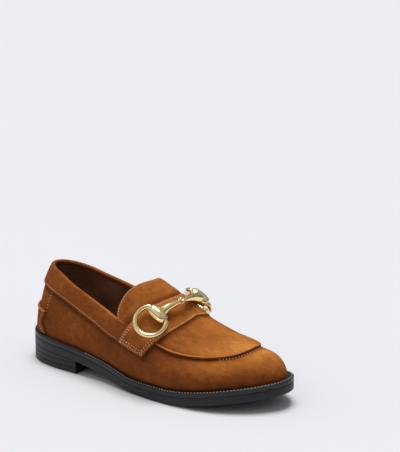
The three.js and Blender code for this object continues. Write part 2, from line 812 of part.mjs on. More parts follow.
// Frame on the skin at a turn and climb: ahead runs towards the toe, the normal points outwards
function skinFrame(turn, climb) {
  const step = 1e-3
  const point = skinPoint(turn, climb)
  const along = skinPoint(turn + step, climb).sub(skinPoint(turn - step, climb)).normalize()
  const up = skinPoint(turn, climb + step).sub(skinPoint(turn, climb - step)).normalize()
  const normal = along.clone().cross(up).normalize()
  return { point, normal, ahead: turn < 0.5 ? along : along.clone().negate() }
}

const paleGold = { color: 0xd8bd84, roughness: 0.22, metalness: 1 }
const suede = { color: 0x9a5420, roughness: 0.92, metalness: 0 }
const suedeTop = { color: 0xa9601f, roughness: 0.92, metalness: 0 }
const blackSole = { color: 0x26272a, roughness: 0.5, metalness: 0 }
const liningLeather = { color: 0x3a2a20, roughness: 0.7, metalness: 0 }

const shoe = new THREE.Group()
function addPiece(name, geometry, finish) {
  const clean = geometry.clone()
  clean.computeVertexNormals()
  const mesh = new THREE.Mesh(clean, new THREE.MeshStandardMaterial(finish))
  mesh.name = name
  shoe.add(mesh)
}

addPiece('outsole', outsoleGeometry(), blackSole)
addPiece('welt', weltGeometry(), blackSole)
addPiece('heel_block', heelBlockGeometry(), blackSole)
addPiece('heel_top_lift', topLiftGeometry(), blackSole)
addPiece('insole', insoleGeometry(), liningLeather)
addPiece('upper', upperGeometry(), suede)

const isBandCell = (cell, row) => cell < strapRearColumn && row >= collarRow && row < edgeRow
const isBackstayCell = (cell, row) => cell < backstayColumn && row < backstayTopRow
const isStrapCell = (cell, row) =>
  cell >= strapRearColumn && cell < strapFrontColumn && row >= collarRow
const isApronCell = (cell, row) => cell >= strapFrontColumn && row >= edgeRow
const backstayAt = (row) => backstayThickness + (row === backstayTopRow ? backstayLip : 0)
const apronAt = (row) => apronThickness + (row < edgeRow + beadRowCount ? apronBead : 0)
addPiece('collar_band', overlayGeometry(isBandCell, () => collarBandThickness), suede)
addPiece('backstay', overlayGeometry(isBackstayCell, backstayAt), suede)
addPiece('saddle_strap', overlayGeometry(isStrapCell, () => strapThickness), suedeTop)
addPiece('apron', overlayGeometry(isApronCell, apronAt), suedeTop)
addPiece('tongue', tongueGeometry(), suedeTop)

// The bit: its heads sit on the strap's shoulders, its joint near the crown
const strapTurn = (share) => THREE.MathUtils.lerp(strapRearShare, strapFrontShare, share)
const bitTurn = strapTurn(bitHeadShare)
const bitSeat = overlayGap + strapThickness + bitSeatGap
const top = skinFrame(strapTurn(bitJointShare), bitJointClimb)
const joint = top.point.addScaledVector(top.normal, bitSeat + bitJointLift + bitEyeDiameter / 2)
const eyeShift = (bitEyeDiameter - bitEyeWire) / 4
for (const [side, turn] of [['lateral', bitTurn], ['medial', 1 - bitTurn]]) {
  const { point, normal, ahead } = skinFrame(turn, bitHeadClimb[side])
  const head = point.clone().addScaledVector(normal, bitSeat + bitBarrelDiameter / 2)
  const down = normal.clone().cross(ahead)
  if (down.z > 0) down.negate()
  const bow = down.addScaledVector(normal, bitBowShare).normalize()
  const towards = joint.clone().sub(head).normalize()
  const sideways = new THREE.Vector3(0, 0, 1).cross(towards).normalize()
  const arch = towards.clone().cross(sideways)
  const eye = joint.clone().addScaledVector(towards, -eyeShift)
  const eyeNormal = side === 'lateral' ? sideways : arch
  addPiece(`bit_ring_${side}`, ringGeometry(head, ahead, bow), paleGold)
  addPiece(`bit_link_${side}`, linkGeometry({ head, bar: ahead, eye, eyeNormal, arch }), paleGold)
}

// Stands the shoe on the origin: the middle of its box, on the floor
const box = new THREE.Box3().setFromObject(shoe)
shoe.position.set(-(box.min.x + box.max.x) / 2, -(box.min.y + box.max.y) / 2, 0)

export default shoe
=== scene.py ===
import math

import bmesh
import bpy
import numpy as np
from bpy.props import FloatProperty, FloatVectorProperty, PointerProperty
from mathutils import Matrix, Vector, bvhtree, kdtree, noise


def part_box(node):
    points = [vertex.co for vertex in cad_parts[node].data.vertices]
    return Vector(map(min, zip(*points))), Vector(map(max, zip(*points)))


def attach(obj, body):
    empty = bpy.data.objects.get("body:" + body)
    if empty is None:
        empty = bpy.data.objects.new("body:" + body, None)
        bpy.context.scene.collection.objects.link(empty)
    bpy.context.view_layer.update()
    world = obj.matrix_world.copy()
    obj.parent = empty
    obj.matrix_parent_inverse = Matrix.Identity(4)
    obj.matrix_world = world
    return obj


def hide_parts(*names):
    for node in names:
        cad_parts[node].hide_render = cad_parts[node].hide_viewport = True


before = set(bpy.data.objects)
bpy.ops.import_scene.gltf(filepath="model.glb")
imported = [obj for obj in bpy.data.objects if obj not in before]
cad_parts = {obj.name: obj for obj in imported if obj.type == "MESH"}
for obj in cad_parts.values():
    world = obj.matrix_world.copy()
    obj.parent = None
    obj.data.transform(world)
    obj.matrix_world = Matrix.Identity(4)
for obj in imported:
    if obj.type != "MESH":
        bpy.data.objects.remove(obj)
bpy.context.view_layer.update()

bl_info = {
    "name": "Bit Loafer",
    "version": (1, 0, 0),
    "blender": (4, 5, 0),
    "location": "3D View > Sidebar > Bit Loafer",
    "description": "Suede loafer with a snaffle bit, dressed over its packed solids",
    "category": "Object",
}

# The shoe is drawn in millimetres from the heel's back, as its solids are, and moved into the
# frame when a mesh is made. -Y is the outer side.
MM = 0.001

SOLE_LENGTH = 270.0
BALL_WIDTH = 98.0
HEEL_SEAT_HEIGHT = 27.5
OUTSOLE_THICKNESS = 7.5
WELT_THICKNESS = 4.5
SOLE_THICKNESS = OUTSOLE_THICKNESS + WELT_THICKNESS
TOE_SPRING = 14.0
HEEL_LENGTH = 69.0
TOP_LIFT_THICKNESS = 10.0
WELT_LEDGE_HEEL = 3.2
WELT_LEDGE_TOE = 5.2
WELT_INNER_BAND = 6.0
SEAT_CLEARANCE = 0.3
UPPER_WALL = 1.8
INSTEP_HEIGHT = 77.8
COLLAR_HEIGHT = 87.5
LAST_BACK_OFFSET = 26.0
LAST_TOE_OFFSET = 47.0
CROWN_OFFSET = 8.0
OVERLAY_GAP = 0.3
STRAP_THICKNESS = 2.0
BIT_RING_WIRE = 4.2
BIT_RING_DIAMETER = 27.4
BIT_RING_OFFSET = 8.6
BIT_RING_CORNER = 2.2
BIT_BARREL_LENGTH = 18.0
BIT_BARREL_DIAMETER = 11.0
BIT_BORE_CLEARANCE = 0.45
BIT_SHANK_DIAMETER = 9.4
BIT_SHANK_NECK = 4.6
BIT_EYE_WIRE = 2.0
BIT_EYE_DIAMETER = 7.2
BIT_BARREL_END = 0.6
BIT_BORE_LIP = 0.5
BIT_BORE_MOUTH = 0.96
BIT_SEAT_GAP = 0.5
BIT_JOINT_LIFT = 5.4
BIT_BOW_SHARE = -0.2
BIT_SHANK_ARCH = 0.9
BIT_HEAD_SHARE = 0.42
BIT_JOINT_SHARE = 0.4
BIT_JOINT_CLIMB = 0.92
BIT_HEAD_CLIMB = {"lateral": 0.64, "medial": 0.7}

OUTLINE = {
    "at": [0, 0.03, 0.08, 0.15, 0.25, 0.37, 0.5, 0.62, 0.72, 0.82, 0.91, 0.97, 1],
    "lateral": [
        0, 0.235, 0.333, 0.378, 0.388, 0.405, 0.465, 0.495, 0.482, 0.417, 0.276, 0.112, -0.1,
    ],
    "medial": [0, 0.205, 0.295, 0.335, 0.325, 0.29, 0.32, 0.41, 0.475, 0.465, 0.38, 0.28, 0.1],
}
SEAT = {
    "at": [0, 0.12, 0.25, 0.37, 0.5, 0.56, 0.66, 0.74, 0.85, 1],
    "heel": [1, 0.91, 0.75, 0.44, 0.04, 0, 0, 0, 0, 0],
    "toe": [0, 0, 0, 0, 0, 0, 0, 0.14, 0.5, 1],
}
LAST = {
    "at": [0, 0.12, 0.25, 0.36, 0.45, 0.55, 0.65, 0.75, 0.85, 0.93, 1],
    "crown": [1.267, 1.242, 1.28, 1.267, 1.17, 1, 0.768, 0.655, 0.608, 0.597, 0.47],
    "square": [1.8, 1.83, 1.85, 2.2, 2.4, 2.6, 2.68, 2.6, 2.5, 2.7, 2.7],
    "swell": [-0.006, 0.005, 0.02, 0.036, 0.048, 0.048, 0.038, 0.03, 0.019, -0.003, -0.012],
    "drift": [0, 0, 0, 0, 0, 0.8, 1, 0.75, 0.65, 0.75, 0.88],
}
TOPLINE = {
    "at": [0, 0.06, 0.14, 0.22, 0.3, 0.38, 0.46, 0.52],
    "height": [0.97, 0.98, 0.94, 0.868, 0.812, 0.752, 0.688, 0.68],
}
SEAM = {
    "at": [0, 0.083, 0.127, 0.161, 0.19, 0.214, 0.24, 0.271, 0.304, 0.348, 0.383, 0.43, 0.479, 0.5],
    "collar": [
        0.445, 0.43, 0.388, 0.322, 0.255, 0.208, 0.203, 0.187, 0.19, 0.2, 0.2, 0.2, 0.2, 0.2,
    ],
    "apron": [
        0.6, 0.5, 0.45, 0.42, 0.4, 0.395, 0.39, 0.385, 0.43, 0.52, 0.611, 0.775, 0.865, 0.875,
    ],
}
STRAP_SEAM_INSET = 2.2
STRAP_SEAM_SPACING = 1.8
WELT_SEAM_SHARE = 0.32
BACKSTAY_END = 0.095
BACKSTAY_TOP = 0.54
THROAT_END = 0.2225
STRAP_REAR = 0.235
STRAP_FRONT = 0.271
STRAP_SWEEP_REAR = 0.052
STRAP_SWEEP_FRONT = 0.053
STRAP_FOOT_SHARE = 0.2
WALL_REACH_POWER = 0.83
LEAN_POWER = 0.5

# Soft hollows that handling leaves in the suede: turn and climb of both ends, half width and depth
HOLLOWS = {
    "turn": [0.105, 0.135, 0.165, 0.195, 0.3, 0.34, 0.385, 0.43, 0.87, 0.82, 0.71, 0.64],
    "climb": [0.1, 0.33, 0.12, 0.17, 0.16, 0.1, 0.3, 0.3, 0.12, 0.3, 0.2, 0.3],
    "end_turn": [0.13, 0.15, 0.185, 0.215, 0.33, 0.37, 0.4, 0.46, 0.85, 0.79, 0.67, 0.6],
    "end_climb": [0.34, 0.1, 0.3, 0.06, 0.34, 0.3, 0.08, 0.12, 0.34, 0.1, 0.32, 0.12],
    "width": [9, 8, 9, 7, 10, 9, 8, 8, 9, 8, 10, 9],
    "depth": [0.45, 0.35, 0.4, 0.3, 0.35, 0.3, 0.25, 0.2, 0.4, 0.35, 0.35, 0.3],
}


def smoothstep(value, low, high):
    """Share of the way from low to high, eased at both ends."""
    share = np.clip((value - low) / (high - low), 0, 1)
    return share * share * (3 - 2 * share)


def table_curve(table, column, key=lambda at: at):
    """Smooth curve through a column of a table."""
    x = key(np.array(table["at"], float))
    y = np.array(table[column], float)
    number = np.arange(len(x))
    low, high = np.maximum(number - 1, 0), np.minimum(number + 1, len(x) - 1)
    slope = (y[high] - y[low]) / (x[high] - x[low])

    def curve(at):
        value = np.clip(key(np.asarray(at, float)), x[0], x[-1])
        i = np.clip(np.searchsorted(x, value, side="right") - 1, 0, len(x) - 2)
        h = x[i + 1] - x[i]
        u = (value - x[i]) / h
        rise = y[i + 1] - y[i]
        bend = (1 - u) * (slope[i] * h - rise) - u * (slope[i + 1] * h - rise)
        return y[i] + u * rise + u * (1 - u) * bend

    return curve


def turn_of(share):
    """Twice the turn at a share of the length: 0 at the heel and 1 at the toe."""
    return np.arccos(np.clip(1 - 2 * share, -1, 1)) / np.pi


def share_of(turn):
    return (1 - np.cos(2 * np.pi * turn)) / 2


outer = table_curve(OUTLINE, "lateral", turn_of)
inner = table_curve(OUTLINE, "medial", turn_of)
seat_heel = table_curve(SEAT, "heel")
seat_toe = table_curve(SEAT, "toe")
crown_share = table_curve(LAST, "crown")
squareness = table_curve(LAST, "square")
swell_share = table_curve(LAST, "swell")
drift_share = table_curve(LAST, "drift")
topline_share = table_curve(TOPLINE, "height")
collar_seam = table_curve(SEAM, "collar")
apron_seam = table_curve(SEAM, "apron")


def sole_edge(turn):
    """Outline of the sole: turns to 0.5 are the outer side, the others the inner one."""
    t = np.mod(turn, 1.0)
    share = share_of(t)
    side = np.where(t <= 0.5, -outer(share), inner(share))
    return np.stack([share * SOLE_LENGTH, side * BALL_WIDTH], -1)


def unit(vectors):
    return vectors / np.maximum(np.linalg.norm(vectors, axis=-1, keepdims=True), 1e-12)


def inset_edge(turn, inset):
    """Sole edge moved in by a distance."""
    turn = np.asarray(turn, float)
    along = unit(sole_edge(turn + 1e-4) - sole_edge(turn - 1e-4))
    outward = np.stack([along[..., 1], -along[..., 0]], -1)
    return sole_edge(turn) - outward * np.asarray(inset, float)[..., None]


def welt_ledge(turn):
    """Width of the ledge, which grows from the heel to the toe."""
    toe = smoothstep(share_of(turn), 0.25, 0.75)
    return WELT_LEDGE_HEEL + (WELT_LEDGE_TOE - WELT_LEDGE_HEEL) * toe


def feather(turn, inset=0.0):
    """Edge along which the upper meets the welt."""
    return inset_edge(turn, welt_ledge(turn) + inset)


def seat_at(x):
    """Height of the top of the welt, on which the upper is seated."""
    share = x / SOLE_LENGTH
    rise = (HEEL_SEAT_HEIGHT - SOLE_THICKNESS) * seat_heel(share) + TOE_SPRING * seat_toe(share)
    return SOLE_THICKNESS + np.maximum(rise, 0)


def ground_at(x):
    """Height of the underside of the sole plate."""
    return seat_at(x) - SOLE_THICKNESS


def crown_at(x):
    return INSTEP_HEIGHT * crown_share(x / SOLE_LENGTH)


FEATHER_BACK = feather(np.array(0.0))[0]
FEATHER_TOE = feather(np.array(0.5))[0]
OUTSOLE_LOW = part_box("outsole")[0] / MM
EDGE_LOW = sole_edge(np.linspace(0, 1, 2000)).min(0)
SHIFT = np.array([OUTSOLE_LOW.x - EDGE_LOW[0], OUTSOLE_LOW.y - EDGE_LOW[1], 0.0])


def last_point(turn, climb):
    """Point of the upper's outer surface: climb 0 is the feather edge, 1 the crown line."""
    turn, climb = np.broadcast_arrays(np.asarray(turn, float), np.asarray(climb, float))
    foot = feather(turn)
    share = foot[..., 0] / SOLE_LENGTH
    along = (foot[..., 0] - FEATHER_BACK) / (FEATHER_TOE - FEATHER_BACK)
    crown_x = LAST_BACK_OFFSET + (SOLE_LENGTH - LAST_TOE_OFFSET - LAST_BACK_OFFSET) * along
    crown = np.stack([crown_x, CROWN_OFFSET * drift_share(crown_x / SOLE_LENGTH)], -1)
    power = 2 / squareness(share)
    angle = climb * np.pi / 2
    inward = 1 - np.maximum(np.cos(angle), 1e-9) ** power
    upward = np.sin(angle) ** power
    swell = BALL_WIDTH * swell_share(share) * np.sin(np.pi * upward**0.8)
    place = foot + (crown - foot) * inward[..., None] + unit(foot - crown) * swell[..., None]
    seat = seat_at(foot[..., 0]) + SEAT_CLEARANCE
    height = seat + (crown_at(place[..., 0]) - seat) * upward
    return np.concatenate([place, height[..., None]], -1)


def wall_reach(climb):
    """How far the wall has come in at a climb, as a share of the way to the crown."""
    return 1 - np.maximum(np.cos(climb * np.pi / 2), 0) ** WALL_REACH_POWER


def lean_share(climb):
    """It grows from the strap's foot as the wall comes in, evenly over the crown."""
    foot = wall_reach(STRAP_FOOT_SHARE) ** LEAN_POWER
    return np.maximum(0, wall_reach(climb) ** LEAN_POWER - foot) / (1 - foot)


def half_of(turn):
    """The turn from the heel on either side."""
    return np.minimum(turn, 1 - turn)


def leaning_turn(turn, climb):
    """Columns lean forward with the strap's edges."""
    half = half_of(turn)
    rising = smoothstep(half, BACKSTAY_END, STRAP_REAR)
    falling = 1 - smoothstep(half, STRAP_FRONT, 0.5)
    fore = smoothstep(half, STRAP_REAR, STRAP_FRONT)
    sweep = STRAP_SWEEP_REAR + (STRAP_SWEEP_FRONT - STRAP_SWEEP_REAR) * fore
    lean = rising * falling * sweep * lean_share(climb)
    return np.where(turn <= 0.5, turn + lean, turn - lean)


TWIN_TURNS = np.linspace(0, 0.5, 801)
TWIN_OUTER = feather(TWIN_TURNS)[:, 0]
TWIN_INNER = feather(1 - TWIN_TURNS)[:, 0]


def meeting_turn(turn, climb):
    """Near the crown, turns of the inner side move to meet those of the outer side."""
    half = 1 - turn
    twin = np.interp(np.interp(half, TWIN_TURNS, TWIN_OUTER), TWIN_INNER, TWIN_TURNS)
    return np.where(turn > 0.5, 1 - (half + (twin - half) * smoothstep(climb, 0.2, 1)), turn)


def bare_skin(turn, climb):
    """Points of the skin before handling pressed it in."""
    turn, climb = np.broadcast_arrays(np.asarray(turn, float), np.asarray(climb, float))
    return last_point(meeting_turn(leaning_turn(turn, climb), climb), climb)


def bare_normal(turn, climb):
    turn, climb = np.broadcast_arrays(np.asarray(turn, float), np.asarray(climb, float))
    step = 1e-3
    inside = np.clip(climb, step, 0.996 - step)
    along = bare_skin(turn + step, inside) - bare_skin(turn - step, inside)
    up = bare_skin(turn, inside + step) - bare_skin(turn, inside - step)
    return unit(np.cross(along, up))


HOLLOW_STARTS = last_point(HOLLOWS["turn"], HOLLOWS["climb"])
HOLLOW_ENDS = last_point(HOLLOWS["end_turn"], HOLLOWS["end_climb"])


def hollow_depth(points):
    """How deep the suede is pressed in at points of the skin."""
    depth = np.zeros(points.shape[:-1])
    hollows = zip(HOLLOW_STARTS, HOLLOW_ENDS, HOLLOWS["width"], HOLLOWS["depth"])
    for start, end, width, deep in hollows:
        along = end - start
        share = np.clip(((points - start) @ along) / (along @ along), 0, 1)
        away = np.linalg.norm(points - start - share[..., None] * along, axis=-1)
        depth += deep * np.exp(-((away / width) ** 2)) * np.sin(np.pi * (0.15 + 0.7 * share))
    return depth


def skin(turn, climb):
    """Points and normals of the suede's surface."""
    points = bare_skin(turn, climb)
    normals = bare_normal(turn, climb)
    return points - normals * hollow_depth(points)[..., None], normals


def topline_climb(turn):
    """Climb at which the skin reaches the collar, found by halving."""
    turn = np.asarray(turn, float)
    low, high = np.zeros(turn.shape), np.ones(turn.shape)
    for _ in range(40):
        middle = (low + high) / 2
        point = bare_skin(turn, middle)
        below = point[..., 2] < COLLAR_HEIGHT * topline_share(point[..., 0] / SOLE_LENGTH)
        low, high = np.where(below, middle, low), np.where(below, high, middle)
    return low


THROAT_STEP = {
    "lateral": float(topline_climb(np.array(THROAT_END)) - apron_seam(THROAT_END)),
    "medial": float(topline_climb(np.array(1 - THROAT_END)) - apron_seam(THROAT_END)),
}


def edge_climb(turn):
    """The topline behind the throat, the apron's seam ahead of it."""
    turn = np.asarray(turn, float)
    half = half_of(turn)
    step = np.where(turn <= 0.5, THROAT_STEP["lateral"], THROAT_STEP["medial"])
    seam = apron_seam(half) + step * (1 - smoothstep(half, THROAT_END, STRAP_FRONT))
    return np.where(half < THROAT_END, topline_climb(turn), seam)


def over_shoe(foot, side):
    """Climb along a row that runs over the shoe, from its foot on one side to that on the other."""
    return foot + (1 - foot) * (1 - np.abs(side))


def across(half, side):
    """Turn of a place on a row that runs over the shoe: side -1 is the outer foot, 1 the inner."""
    half, side = np.broadcast_arrays(np.asarray(half, float), np.asarray(side, float))
    return np.where(side <= 0, half, 1 - half)


# Meshes

# Millimetres within which points are joined, and square metres below which a face is dropped
MERGE_GAP = 0.0004
FLAT_AREA = 1e-16


def clustered(count, amount=0.9):
    """Shares from 0 to 1 that lie closer together near both ends."""
    even = np.linspace(0, 1, count)
    return even + amount * ((1 - np.cos(np.pi * even)) / 2 - even)


def grid_quads(rows, columns, start=0, wrap=False):
    number = start + np.arange(rows * columns).reshape(rows, columns)
    if wrap:
        number = np.vstack([number, number[:1]])
    a, b = number[:-1, :-1].ravel(), number[1:, :-1].ravel()
    c, d = number[1:, 1:].ravel(), number[:-1, 1:].ravel()
    return np.stack([a, b, c, d], 1)


def new_piece(name, points, faces, finishes, face_slots=None, sharp=55, layers=None):
    """Object whose mesh is given in the shoe's millimetres, joined and turned outwards."""
    mesh = bpy.data.meshes.new(name)
    placed = (np.asarray(points, float).reshape(-1, 3) + SHIFT) * MM
    mesh.from_pydata(placed.tolist(), [], [list(map(int, face)) for face in faces])
    for finish in finishes:
        mesh.materials.append(finish)
    if face_slots is not None:
        mesh.polygons.foreach_set("material_index", np.asarray(face_slots, np.int32))
    for key, values in (layers or {}).items():
        layer = mesh.attributes.new(key, "FLOAT", "POINT")
        layer.data.foreach_set("value", np.asarray(values, np.float32).ravel())
    work = bmesh.new()
    work.from_mesh(mesh)
    bmesh.ops.remove_doubles(work, verts=work.verts, dist=MERGE_GAP * MM)
    flat = [face for face in work.faces if face.calc_area() < FLAT_AREA]
    bmesh.ops.delete(work, geom=flat, context="FACES_ONLY")
    bmesh.ops.recalc_face_normals(work, faces=work.faces)
    work.to_mesh(mesh)
    work.free()
    mesh.polygons.foreach_set("use_smooth", [True] * len(mesh.polygons))
    mesh.set_sharp_from_angle(angle=math.radians(sharp))
    mesh.update()
    piece = bpy.data.objects.new(name, mesh)
    bpy.context.scene.collection.objects.link(piece)
    return piece


def rim_distance(points, rim):
    """Distance of each point from a rim, given as lines of points."""
    dense = []
    for line in rim:
        for a, b in zip(line[:-1], line[1:]):
            count = max(1, int(np.linalg.norm(b - a) / 0.15))
            dense.extend(a + (b - a) * k / count for k in range(count))
        dense.append(line[-1])
    tree = kdtree.KDTree(len(dense))
    for i, point in enumerate(dense):
        tree.insert(point, i)
    tree.balance()
    flat = points.reshape(-1, 3)
    return np.array([tree.find(point)[2] for point in flat]).reshape(points.shape[:-1])


def rounded(distance, radius):
    """Rise of a rounded edge from 0 at the rim to 1 a radius further in."""
    share = np.clip(distance / radius, 0, 1)
    return np.sqrt(np.maximum(0, 1 - (1 - share) ** 2))


# Brushed patches per metre, large and small, and where the painted light on the toe's top begins
# and is full
PATCHES = 38
SMALL_PATCHES = 150
PAINTED_TOE_LIGHT_SPAN = (0.045, 0.1)

# Tone of the nap: 0 is the deepest colour and 1 the lightest. Besides brushed patches it holds
# painted light on tops, painted highlights on edges and painted shade
TONE_BASE = 0.3
TONE_PAINTED_TOP_LIGHT = 0.27
TONE_PAINTED_TOE_TOP_LIGHT = 0.24
TONE_PAINTED_TOE_SHADE = -0.04
TONE_PATCHES = 0.16
TONE_SMALL_PATCHES = 0.08
# Painted highlight on the crest of a piece's rounded edge
PAINTED_EDGE_HIGHLIGHT = 0.2
# Painted shade on a piece's underside, which faces the skin
UNDERSIDE_PAINTED_SHADE = -0.6


def add_tone(piece, lift=0.0):
    """Stores how light the nap looks: brushed patches, and painted light where it faces up, more on
    the toe's top, with painted shade on the toe's sides.
    """
    mesh = piece.data
    count = len(mesh.vertices)
    places = np.empty(count * 3)
    mesh.vertices.foreach_get("co", places)
    places = places.reshape(-1, 3)
    normals = np.array([vertex.normal[:] for vertex in mesh.vertices])
    patches = np.array([noise.noise(Vector(place) * PATCHES) for place in places])
    aside = Vector((3, 1, 2))
    small = np.array([noise.noise(Vector(place) * SMALL_PATCHES + aside) for place in places])
    # Painted light: the more a surface faces up, the lighter its nap, as a lamp above lights it
    upward = np.clip(normals[:, 2], 0, 1) ** 1.2
    tone = TONE_BASE + TONE_PAINTED_TOP_LIGHT * upward
    # Painted light on the toe's top and painted shade on its sides
    tone = tone + smoothstep(places[:, 0], *PAINTED_TOE_LIGHT_SPAN) * (TONE_PAINTED_TOE_TOP_LIGHT * upward + TONE_PAINTED_TOE_SHADE)
    tone = tone + TONE_PATCHES * patches + TONE_SMALL_PATCHES * small + lift
    # Painted highlights and painted shade that the piece was given along its edges, seams and
    # underside
    layer = mesh.attributes.get("painted_light_shade")
    if layer is not None:
        values = np.empty(count, np.float32)
        layer.data.foreach_get("value", values)
        tone = tone + values
        mesh.attributes.remove(layer)
    tones = mesh.attributes.new("tone", "FLOAT", "POINT")
    tones.data.foreach_set("value", np.clip(tone, 0, 1).astype(np.float32))


def shaded(distance, depth, reach):
    """Painted shade: darker nap close to a seam or edge."""
    return -depth * np.exp(-distance / reach)


def pressed(away, place, depth, width):
    """Groove that a seam presses into the suede, at a distance from the rim."""
    return -depth * np.exp(-(((away - place) / width) ** 2))


def sheet_piece(name, points, normals, rim, low, thickness, radius, extra, lift, shade=0.0):
    """Piece of suede on the skin: a grid of base points with a rounded edge along its rim."""
    rows, columns = points.shape[:2]
    away = rim_distance(points, rim)
    rise = thickness * rounded(away, radius) + extra(away)
    top = points + normals * (low + rise)[..., None]
    bottom = points + normals * low
    quads = grid_quads(rows, columns)
    count = rows * columns
    faces = np.vstack([quads, quads[:, ::-1] + count])
    # Painted highlight on the crest of the rounded edge, painted shade on the cut face at the rim,
    # and the painted light or shade the piece is given
    painted_light_shade = PAINTED_EDGE_HIGHLIGHT * np.exp(-((away - radius) ** 2) / 0.8) + shaded(away, 0.5, 0.3) + shade
    # Painted shade on the underside of the piece
    under = np.full(painted_light_shade.size, UNDERSIDE_PAINTED_SHADE)
    layers = {"painted_light_shade": np.concatenate([painted_light_shade.ravel(), under])}
    both = np.concatenate([top.reshape(-1, 3), bottom.reshape(-1, 3)])
    piece = new_piece(name, both, faces, [material("suede")], layers=layers)
    add_tone(piece, lift)
    return piece


def swept_faces(sections, closed, start=0):
    """Points and faces of a closed body through sections, each a closed loop of points."""
    rows, columns = sections.shape[:2]
    wrapped = np.concatenate([sections, sections[:, :1]], 1)
    faces = grid_quads(rows, columns + 1, start, closed).tolist()
    if not closed:
        last = start + (rows - 1) * (columns + 1)
        faces.append(list(range(start, start + columns))[::-1])
        faces.append(list(range(last, last + columns)))
    return wrapped.reshape(-1, 3), faces


def swept_piece(name, sections, finishes, closed, face_slots=None, sharp=55):
    """Piece made of one such body."""
    points, faces = swept_faces(sections, closed)
    return new_piece(name, points, faces, finishes, face_slots, sharp)


def tube(path, radii, sides, normal, squash=1.0, closed=True):
    """Sections of a round wire along a path."""
    ahead = np.roll(path, -1, 0) if closed else np.vstack([path[1:], 2 * path[-1] - path[-2]])
    behind = np.roll(path, 1, 0) if closed else np.vstack([2 * path[0] - path[1], path[:-1]])
    tangent = unit(ahead - behind)
    first = unit(np.cross(tangent, normal))
    second = unit(np.cross(tangent, first))
    angles = np.linspace(0, 2 * np.pi, sides, endpoint=False)
    radii = np.broadcast_to(radii, (len(path),))[:, None, None]
    ring = first[:, None] * np.cos(angles)[None, :, None]
    ring = ring + second[:, None] * np.sin(angles)[None, :, None] * squash
    return path[:, None] + ring * radii


def loop_through(points, count):
    """Even points on a smooth closed curve."""
    points = np.asarray(points, float)
    chord = np.linalg.norm(np.roll(points, -1, 0) - points, axis=1)
    start = np.concatenate([[0], np.cumsum(chord)])
    total = start[-1]
    slope = (np.roll(points, -1, 0) - np.roll(points, 1, 0)) / (chord + np.roll(chord, 1))[:, None]
    at = np.linspace(0, total, count, endpoint=False)
    i = np.clip(np.searchsorted(start, at, side="right") - 1, 0, len(points) - 1)
    j = (i + 1) % len(points)
    u = ((at - start[i]) / chord[i])[:, None]
    h = chord[i][:, None]
    a, b = points[i], points[j]
    rise = b - a
    bend = (1 - u) * (slope[i] * h - rise) - u * (slope[j] * h - rise)
    return a + u * rise + u * (1 - u) * bend


def finish_piece(piece, slot, *nodes):
    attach(piece, "root")
    if nodes:
        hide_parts(*nodes)
    return piece


# Materials


class Shader:
    """A material whose nodes are added one by one."""

    def __init__(self, name):
        self.material = bpy.data.materials.new(name)
        self.material.use_nodes = True
        self.tree = self.material.node_tree
        self.body = self.tree.nodes["Principled BSDF"]
        self.place = self.add("ShaderNodeTexCoord").outputs["Object"]

    def add(self, kind, **values):
        node = self.tree.nodes.new(kind)
        for key, value in values.items():
            setattr(node, key, value)
        return node

    def link(self, source, target):
        self.tree.links.new(source, target)

    def set(self, **values):
        for key, value in values.items():
            self.body.inputs[key.replace("_", " ")].default_value = value

    def noise(self, scale, detail=3.0, stretch=(1, 1, 1), roughness=0.55):
        moved = self.add("ShaderNodeMapping")
        moved.inputs["Scale"].default_value = stretch
        self.link(self.place, moved.inputs["Vector"])
        node = self.add("ShaderNodeTexNoise")
        node.inputs["Scale"].default_value = scale
        node.inputs["Detail"].default_value = detail
        node.inputs["Roughness"].default_value = roughness
        self.link(moved.outputs["Vector"], node.inputs["Vector"])
        return node.outputs["Fac"]

    def math(self, operation, *values):
        node = self.add("ShaderNodeMath", operation=operation)
        for socket, value in zip(node.inputs, values):
            if isinstance(value, (int, float)):
                socket.default_value = value
            else:
                self.link(value, socket)
        return node.outputs[0]

    def ramp(self, factor, stops):
        node = self.add("ShaderNodeValToRGB")
        elements = node.color_ramp.elements
        while len(elements) < len(stops):
            elements.new(0.5)
        for element, (at, colour) in zip(elements, stops):
            element.position = at
            element.color = (*colour, 1)
        self.link(factor, node.inputs["Fac"])
        return node.outputs["Color"]

    def bump(self, height, strength, distance, below=None):
        node = self.add("ShaderNodeBump")
        node.inputs["Strength"].default_value = strength
        node.inputs["Distance"].default_value = distance
        self.link(height, node.inputs["Height"])
        if below is not None:
            self.link(below, node.inputs["Normal"])
        return node.outputs["Normal"]

    def colour(self, source):
        self.link(source, self.body.inputs["Base Color"])

    def roughness(self, factor, low, high):
        node = self.add("ShaderNodeMapRange")
        node.inputs["To Min"].default_value = low
        node.inputs["To Max"].default_value = high
        self.link(factor, node.inputs["Value"])
        self.link(node.outputs["Result"], self.body.inputs["Roughness"])

    def normal(self, source):
        self.link(source, self.body.inputs["Normal"])


